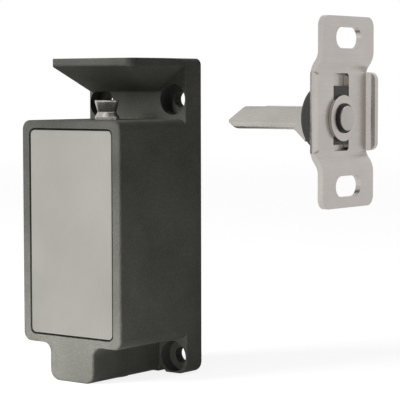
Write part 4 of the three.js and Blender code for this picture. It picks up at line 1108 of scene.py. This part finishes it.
    def _grommet(self) -> None:
        """Builds the rubber grommet in the lug."""
        box = Box.of("cable_grommet")
        inner, outer, flange = self.grommet_bore / 2, self.grommet_radius, box.size.x / 2
        foot, shoulder, top = box.low.z, box.low.z + self.grommet_flange, box.high.z
        profile = [
            Corner(inner, foot, self.grommet_foot_edge), Corner(flange, foot, self.grommet_foot_edge),
            Corner(flange, shoulder), Corner(outer, shoulder), Corner(outer, top, self.grommet_top_edge),
            Corner(inner, top, self.grommet_top_edge),
        ]
        ring = Solid.turned(Axis.Z, profile, self.latch_line)
        self.paints.piece(ring, "cable_grommet", "ring", Slot.RUBBER, Body.LOCK)

    def build(self) -> None:
        """Builds the case and everything that closes it."""
        self._housing()
        self._front_plate()
        self._rear_cover()
        self._grommet()


@dataclass
class LatchLine:
    """The sprung latch, its bushing and its return spring."""

    paints: Paints
    groove_over_box: float = 2.05
    groove_height: float = 2.6
    waist: float = 5.1
    waist_round: float = 0.3
    lower_shoulder: float = 0.25
    upper_shoulder: float = 0.15
    rim: float = 0.55
    rod_radius: float = 3.35
    rod_under_cam: float = 0.2
    rod_edge: float = 0.2
    ring_groove: float = 0.7
    running_gap: float = 0.08
    tang_thickness: float = 2.4
    tang_width: float = 4.8
    bush_flange: float = 1.2
    bush_edge: float = 0.2
    bush_mouth: float = 0.25
    spring_wire: float = 1.0
    spring_turns: int = 5
    stroke: float = 5.5

    def __post_init__(self) -> None:
        """Takes the latch's place from the frame."""
        self.box = Box.of("latch_rod")
        self.cam_foot = Box.of("latch_cam_collar").low.z
        self.line = Vector((0.0, self.box.centre.y, 0.0))

    def _rod(self, box_top: float) -> None:
        """Builds the latch with its V-groove and the tang that the plunger holds.

        Args:
            box_top: The height of the box's top.
        """
        ring = Box.of("latch_retaining_ring")
        radius, groove, top = self.rod_radius, self.rod_radius - self.ring_groove, self.box.high.z
        waist = box_top + self.groove_over_box
        foot = self.cam_foot - self.rod_under_cam
        profile = [
            Corner(0.0, foot), Corner(radius, foot, self.rod_edge), Corner(radius, ring.low.z),
            Corner(groove, ring.low.z), Corner(groove, ring.high.z), Corner(radius, ring.high.z),
            Corner(radius, waist - self.groove_height / 2, self.lower_shoulder),
            Corner(self.waist / 2, waist, self.waist_round),
            Corner(radius, top - self.rim, self.upper_shoulder),
            Corner(radius, top, self.rim / 2), Corner(0.0, top),
        ]
        blade = rectangle(0.0, self.line.y, self.tang_thickness, self.tang_width, self.rod_edge)
        tang = Solid.prism(Axis.Z, blade, self.box.low.z, foot + CUT_PAST)
        rod = Solid.turned(Axis.Z, profile, self.line).join(tang)
        self.paints.piece(rod, "latch_rod", "polished", Slot.POLISHED_STEEL, Body.LATCH)

    def _bushing(self) -> None:
        """Builds the flanged bronze bushing in the top of the box."""
        box = Box.of("latch_bushing")
        inner, flange = self.rod_radius + self.running_gap, box.size.x / 2
        foot, top, edge = box.low.z, box.high.z, self.bush_edge
        shoulder = foot + self.bush_flange
        profile = [
            Corner(inner, foot, edge), Corner(flange, foot, edge), Corner(flange, shoulder),
            Corner(BUSH_RADIUS, shoulder), Corner(BUSH_RADIUS, top, edge),
            Corner(inner, top, self.bush_mouth),
        ]
        sleeve = Solid.turned(Axis.Z, profile, self.line)
        self.paints.piece(sleeve, "latch_bushing", "sleeve", Slot.BRONZE, Body.LOCK)

    def _spring(self) -> None:
        """Winds the return spring at its rest length; the real spring shortens as the latch goes down."""
        box, seat = Box.of("latch_spring"), Box.of("solenoid_frame").high.z
        radius = box.size.x / 2 - self.spring_wire / 2
        foot = Vector((0.0, self.line.y, box.low.z))
        coil = Solid.coil(foot, radius, self.spring_wire, box.size.z - self.spring_wire, self.spring_turns)
        piece = self.paints.piece(coil, "latch_spring", "coil", Slot.PLATED_STEEL, Body.LOCK)
        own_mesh(piece)

    def build(self, box_top: float) -> None:
        """Builds the latch's own pieces round the height of the box's top.

        Args:
            box_top: The height of the box's top.
        """
        self._rod(box_top)
        self._bushing()
        self._spring()


STAMPED_EDGE = 0.5
BOLT_EDGE = 0.25


@dataclass
class StrikerSet:
    """The striker: a stamped bracket and the bolt that floats in its tall slot."""

    paints: Paints
    sheet: float = 1.5
    recess: float = 2.2
    width: float = 23.2
    middle: float = 20.4
    fold: float = 3.2
    fold_bend: float = 3.0
    bend: float = 1.6
    ear_corner: float = 2.6
    slot_length: float = 11.5
    slot_width: float = 5.2
    slot_span: float = 36.6
    lip_height: float = 19.8
    lip_inset: float = 0.85
    lip_corner: float = 2.0
    float_slot_width: float = 7.0
    float_slot_height: float = 19.2
    float_slot_corner: float = 1.0
    bolt_height: float = 5.8
    nose_slope: float = 5.5
    nose_face: float = 0.5
    nose_under: float = 2.2
    nose_rise: float = 1.8
    nose_corner: float = 0.6
    top_corner: float = 0.5
    under_corner: float = 1.7
    flare_length: float = 3.2
    flare_drop: float = 2.9
    window_setback: float = 8.6
    window: float = 7.3
    window_corner: float = 0.8
    pin_bore: float = 3.7
    pin_grip: float = 7.2
    pin_radius: float = 1.8
    pin_head: float = 3.1
    pin_edge: float = 0.3
    cushion_edge: float = 0.3
    cushion_round: float = 1.0
    slide_corner: float = 1.5
    slide_edge: float = 0.15
    slider_edge: float = 0.2
    washer_edge: float = 0.2
    lock_washer_edge: float = 0.1

    def __post_init__(self) -> None:
        """Takes the striker's place from the frame."""
        self.box = Box.of("striker_bracket")
        self.door = self.box.high.x
        self.centre = self.box.centre
        self.face = self.door - self.recess
        self.rear = self.face - self.sheet
        self.bolt = Box.of("striker_bolt")
        self.axis_z = self.bolt.high.z - self.bolt_height / 2
        self.line = Vector((0.0, self.bolt.centre.y, self.axis_z))

    def _strip(self) -> Solid:
        """Makes the sheet from ear to ear, folded round the recessed middle.

        Returns:
            The strip.
        """
        z, half, inner = self.centre.z, self.box.size.z / 2, self.middle / 2
        outer = inner + self.fold
        shift = self.sheet * math.tan(math.atan2(self.recess, self.fold) / 2)
        tight, wide = self.fold_bend, self.fold_bend + self.sheet
        ear = self.door - self.sheet
        upper = [
            Corner(self.face, z + inner, tight), Corner(self.door, z + outer, wide),
            Corner(self.door, z + half), Corner(ear, z + half),
            Corner(ear, z + outer + shift, tight), Corner(self.rear, z + inner + shift, wide),
        ]
        lower = [Corner(x, 2 * z - height, radius) for x, height, radius in reversed(upper)]
        y = self.centre.y
        return Solid.prism(Axis.Y, [*upper, *lower], y - self.width / 2, y + self.width / 2)

    def _lip(self, side: int) -> Solid:
        """Makes one side lip, bent out towards the door.

        Args:
            side: -1 for the near lip, 1 for the far one.

        Returns:
            The lip with its rounded ends.
        """
        y, start = self.centre.y, self.width / 2 - self.lip_inset
        inside = y + side * (start + self.bend)
        outside = y + side * (start + self.bend + self.sheet)
        root = y + side * (start - self.sheet)
        section = [
            Corner(self.door, inside), Corner(self.door, outside),
            Corner(self.rear, outside, self.bend + self.sheet), Corner(self.rear, root),
            Corner(self.face, root), Corner(self.face, inside, self.bend),
        ]
        low, high = self.centre.z - self.lip_height / 2, self.centre.z + self.lip_height / 2
        bent = Solid.prism(Axis.Z, section, low, high)
        ends = [
            Corner(self.rear - CUT_PAST, low), Corner(self.door, low, self.lip_corner),
            Corner(self.door, high, self.lip_corner), Corner(self.rear - CUT_PAST, high),
        ]
        return bent.meet(Solid.prism(Axis.Y, ends, y - self.width, y + self.width))

    def _bracket(self) -> None:
        """Builds the stamped bracket."""
        y, z = self.centre.y, self.centre.z
        low, high = self.rear - CUT_PAST, self.door + CUT_PAST
        ears = rectangle(y, z, self.width, self.box.size.z, self.ear_corner)
        plate = self._strip().meet(Solid.prism(Axis.X, ears, low, high))
        plate.join(self._lip(-1), self._lip(1))
        round_end = self.slot_width / 2 - TOUCH
        slots = [
            rectangle(y, z + end * self.slot_span / 2, self.slot_length, self.slot_width, round_end)
            for end in (-1, 1)
        ]
        slots.append(rectangle(y, z, self.float_slot_width, self.float_slot_height, self.float_slot_corner))
        plate.cut(*(Solid.prism(Axis.X, slot, low, high) for slot in slots))
        self.paints.piece(
            plate, "striker_bracket", "stamped", Slot.PLATED_STEEL, Body.STRIKER, STAMPED_EDGE,
        )

    def _bolt(self) -> None:
        """Builds the bolt with its sloped nose, its flared base and the window for the latch."""
        tip, base = self.bolt.low.x, self.bolt.high.x
        y, z, side = self.line.y, self.axis_z, self.bolt.size.y / 2
        low, high = z - self.bolt_height / 2, z + self.bolt_height / 2
        tall, flare = self.bolt_height + self.flare_drop, base - self.flare_length
        profile = [
            Corner(base, low - self.flare_drop), Corner(base, high),
            Corner(tip + self.nose_slope, high, 2 * self.top_corner),
            Corner(tip, low + self.nose_rise + self.nose_face / 2, self.nose_corner),
            Corner(tip + self.nose_under, low, self.nose_rise), Corner(flare, low, self.flare_length / 2),
        ]
        section = [
            Corner(y - side, low, self.under_corner), Corner(y + side, low, self.under_corner),
            Corner(y + side, high, self.top_corner), Corner(y - side, high, self.top_corner),
        ]
        plan = [
            Corner(base, y - side), Corner(base, y + side),
            Corner(tip, y + side, self.nose_corner), Corner(tip, y - side, self.nose_corner),
        ]
        body = Solid.prism(Axis.X, section, tip - CUT_PAST, flare)
        body.join(Solid.prism(Axis.X, rectangle(y, z, 2 * side, 2 * tall), flare, base + CUT_PAST))
        bar = Solid.prism(Axis.Y, profile, y - side, y + side)
        bar.meet(body, Solid.prism(Axis.Z, plan, z - tall, z + tall))
        opening = rectangle(tip + self.window_setback, y, self.window, self.window, self.window_corner)
        window = Solid.prism(Axis.Z, opening, z - tall, z + tall)
        bar.cut(window, self._pin_hole(base - self.pin_grip, base))
        self.paints.piece(bar, "striker_bolt", "ground", Slot.POLISHED_STEEL, Body.BOLT, BOLT_EDGE)

    def _pin_hole(self, start: float, end: float) -> Solid:
        """Returns what cuts the bolt's pin's hole, from start to past the end."""
        return Solid.rod(
            Axis.X, self.line, self.pin_bore / 2, start, end + CUT_PAST, SMALL_ROUND_STEPS,
        )

    def _ring(self, node: str, slot: Slot, edge: float, crown: float = 0.0) -> None:
        """Builds a ring on the bolt's pin, in its CAD node's place.

        Args:
            node: The CAD node.
            slot: The ring's finish.
            edge: The rounding of its rim on the door's side.
            crown: The rounding of its rim on the lock's side.
        """
        box = Box.of(node)
        bore, radius, low, high = self.pin_bore / 2, box.size.z / 2, box.low.x, box.high.x
        profile = [
            Corner(bore, low), Corner(radius, low, crown), Corner(radius, high, edge),
            Corner(bore, high, edge / 2),
        ]
        self.paints.piece(Solid.turned(Axis.X, profile, self.line), node, "turned", slot, Body.BOLT)

    def _block(self, node: str, slot: Slot, corner: float, edge: float) -> None:
        """Builds a flat block that the bolt's pin goes through, in its CAD node's place.

        Args:
            node: The CAD node.
            slot: The block's finish.
            corner: The radius of its corners.
            edge: The rounding of its rims.
        """
        box = Box.of(node)
        outline = rectangle(box.centre.y, box.centre.z, box.size.y, box.size.z, corner)
        block = Solid.prism(Axis.X, outline, box.low.x, box.high.x, edge, edge)
        block.cut(self._pin_hole(box.low.x - CUT_PAST, box.high.x))
        self.paints.piece(block, node, "fitted", slot, Body.BOLT)

    def _pin(self) -> None:
        """Builds the headed pin that holds the bolt."""
        box, seat = Box.of("bolt_pin"), Box.of("pin_lock_washer").high.x
        profile = [
            Corner(0.0, box.low.x), Corner(self.pin_radius, box.low.x, self.pin_edge),
            Corner(self.pin_radius, seat), Corner(self.pin_head, seat),
            Corner(self.pin_head, box.high.x, self.pin_edge), Corner(0.0, box.high.x),
        ]
        pin = Solid.turned(Axis.X, profile, self.line)
        self.paints.piece(pin, "bolt_pin", "headed", Slot.POLISHED_STEEL, Body.BOLT)

    def build(self) -> None:
        """Builds the bracket, the bolt and what holds the two together."""
        self._bracket()
        self._bolt()
        self._ring("rubber_cushion", Slot.RUBBER, self.cushion_edge, self.cushion_round)
        self._block("slide_plate", Slot.PLATED_STEEL, self.slide_corner, self.slide_edge)
        self._block("float_slider", Slot.BLACK_PLASTIC, self.float_slot_corner, self.slider_edge)
        self._ring("striker_washer", Slot.PLATED_STEEL, self.washer_edge)
        # The lock washer that holds the pin is black, and its dark ring also stands in for painted shade in
        # the gap round the pin's neck.
        self._ring("pin_lock_washer", Slot.BLACK_SHEET, self.lock_washer_edge)
        self._pin()


@dataclass
class Works:
    """The CAD nodes: the pieces inside the case keep their shapes."""

    paints: Paints
    frame: dict

    def dress(self) -> None:
        """Gives every CAD node the finish of its material slot."""
        for part in self.frame["record"]["subparts"]:
            self.paints.coat(self.frame["nodes"][part["node"]], Slot(part["material_slot"]))


class Lamp(NamedTuple):
    """A soft rectangular lamp, its place and size in millimetres, which shiny pieces may mirror."""

    name: str
    place: Triple
    size: tuple[float, float]
    watts: float
    mirrored: bool = False


LAMPS = (
    Lamp("key", (-330.0, -640.0, 380.0), (360.0, 360.0), 8.0),
    Lamp("front_bounce", (0.0, -64.0, -37.0), (60.0, 8.0), 0.031),
    Lamp("right_bounce", (58.0, -34.0, -34.0), (12.0, 40.0), 0.006),
    Lamp("side_fill", (520.0, -120.0, 330.0), (300.0, 300.0), 0.08),
    Lamp("overhead", (120.0, -60.0, 620.0), (900.0, 160.0), 0.9, mirrored=True),
)
AMBIENT = 0.04
FLOOR_SHADES = ((0.57, 0.57, 0.57), (0.61, 0.61, 0.61))
FLOOR_ROUGHNESS = 0.9
FLOOR_GRAIN = 30.0
FLOOR_WHITE_SHARE = 0.5
FLOOR_GLOW = (1.7, 1.97)
FLOOR_FADE = (0.3, 2.2)


@dataclass
class Studio:
    """The photograph's camera, soft lamps, a pale floor and a white surround."""

    azimuth: float = 37.217
    elevation: float = 3.781
    roll: float = -0.133
    distance: float = 475.164
    aim: Vector = field(default_factory=lambda: Vector((18.53, -1.92, 7.85)))
    lens: float = 154.3
    sensor: float = 36.0
    clip: tuple[float, float] = (0.01, 20.0)
    floor_gap: float = 0.1
    floor_size: float = 6000.0

    def _camera(self) -> None:
        """Sets up the camera at the photograph's viewing angle."""
        turn, rise = math.radians(self.azimuth), math.radians(self.elevation)
        back = Vector((math.sin(turn) * math.cos(rise), -math.cos(turn) * math.cos(rise), math.sin(rise)))
        data = bpy.data.cameras.new("photo_camera")
        data.lens, data.sensor_width = self.lens, self.sensor
        data.clip_start, data.clip_end = self.clip
        obj = add_object("photo_camera", data)
        obj.location = (self.aim + back * self.distance) * MM
        level = (-back).to_track_quat("-Z", "Y").to_matrix()
        obj.rotation_euler = (level @ Matrix.Rotation(math.radians(self.roll), 3, "Z")).to_euler()
        bpy.context.scene.camera = obj

    def _hang(self, lamp: Lamp) -> None:
        """Hangs a lamp that points at the object.

        Args:
            lamp: The lamp.
        """
        data = bpy.data.lights.new(lamp.name, "AREA")
        data.shape = "RECTANGLE"
        data.size, data.size_y = lamp.size[0] * MM, lamp.size[1] * MM
        data.energy = lamp.watts
        obj = add_object(lamp.name, data)
        place = Vector(lamp.place)
        obj.location = place * MM
        obj.rotation_euler = (self.aim - place).to_track_quat("-Z", "Y").to_euler()
        obj.visible_glossy = lamp.mirrored
        obj.visible_camera = False

    def _floor(self, foot: float) -> None:
        """Lays the pale floor just under the object.

        Args:
            foot: The height of the object's lowest point.
        """
        bm = bmesh.new()
        bmesh.ops.create_grid(bm, x_segments=1, y_segments=1, size=self.floor_size / 2 * MM)
        bmesh.ops.translate(bm, verts=bm.verts[:], vec=Axis.Z.vector((foot - self.floor_gap) * MM))
        mesh = bpy.data.meshes.new("floor")
        bm.to_mesh(mesh)
        bm.free()
        mesh.materials.append(self._floor_material())
        add_object("floor", mesh)

    def _floor_material(self) -> bpy.types.Material:
        """Builds a pale matt floor that reads as white and keeps a faint shadow.

        Returns:
            The material.
        """
        shader = Shader("pale_floor")
        place = shader.place()
        fine = shader.noise(place, grain=FLOOR_GRAIN)
        shader.put(Base_Color=shader.blend(fine, *FLOOR_SHADES), Roughness=FLOOR_ROUGHNESS)
        share = shader.math("MULTIPLY", shader.seen(), FLOOR_WHITE_SHARE)
        out = shader.node("ShaderNodeVectorMath")
        out.operation = "LENGTH"
        shader.set(out.inputs[0], place)
        glow = shader.spread(out.outputs["Value"], *FLOOR_GLOW, *FLOOR_FADE)
        white = shader.node("ShaderNodeEmission", Color=WHITE, Strength=glow)
        mix = shader.node("ShaderNodeMixShader")
        layers = (share, shader.surface.outputs["BSDF"], white.outputs["Emission"])
        for socket, value in zip(mix.inputs, layers):
            shader.set(socket, value)
        shader.set(shader.tree.nodes["Material Output"].inputs["Surface"], mix.outputs["Shader"])
        return shader.material

    def _surround(self) -> None:
        """Makes the world white to the eye and in reflections, and dimmer as a light."""
        world = bpy.data.worlds.new("white_surround")
        world.use_nodes = True
        nodes = Nodes(world.node_tree)
        background = nodes.tree.nodes["Background"].inputs
        nodes.set(background["Color"], WHITE)
        nodes.set(background["Strength"], nodes.spread(nodes.seen(), AMBIENT, 1.0, 0.0, 1.0))
        bpy.context.scene.world = world

    def build(self, foot: float) -> None:
        """Sets up the camera, the lamps, the floor and the surround.

        Args:
            foot: The height of the object's lowest point.
        """
        self._camera()
        for lamp in LAMPS:
            self._hang(lamp)
        self._floor(foot)
        self._surround()
        bpy.context.scene.view_settings.view_transform = "Standard"


def corners(bounds: tuple[Vector, Vector]) -> list[list[float]]:
    """Returns a box's two corners as plain lists of numbers."""
    return [list(corner) for corner in bounds]


def main() -> None:
    """Builds the dressed lock and the studio round it."""
    logging.basicConfig(level=logging.INFO, format="%(message)s")
    for item in list(bpy.data.objects):
        bpy.data.objects.remove(item)
    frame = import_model()
    paints = Paints()
    Works(paints, frame).dress()
    case = LockCase(paints)
    case.build()
    LatchLine(paints).build(case.box_top)
    StrikerSet(paints).build()
    Studio().build(case.foot)


if __name__ == "__main__":
    main()
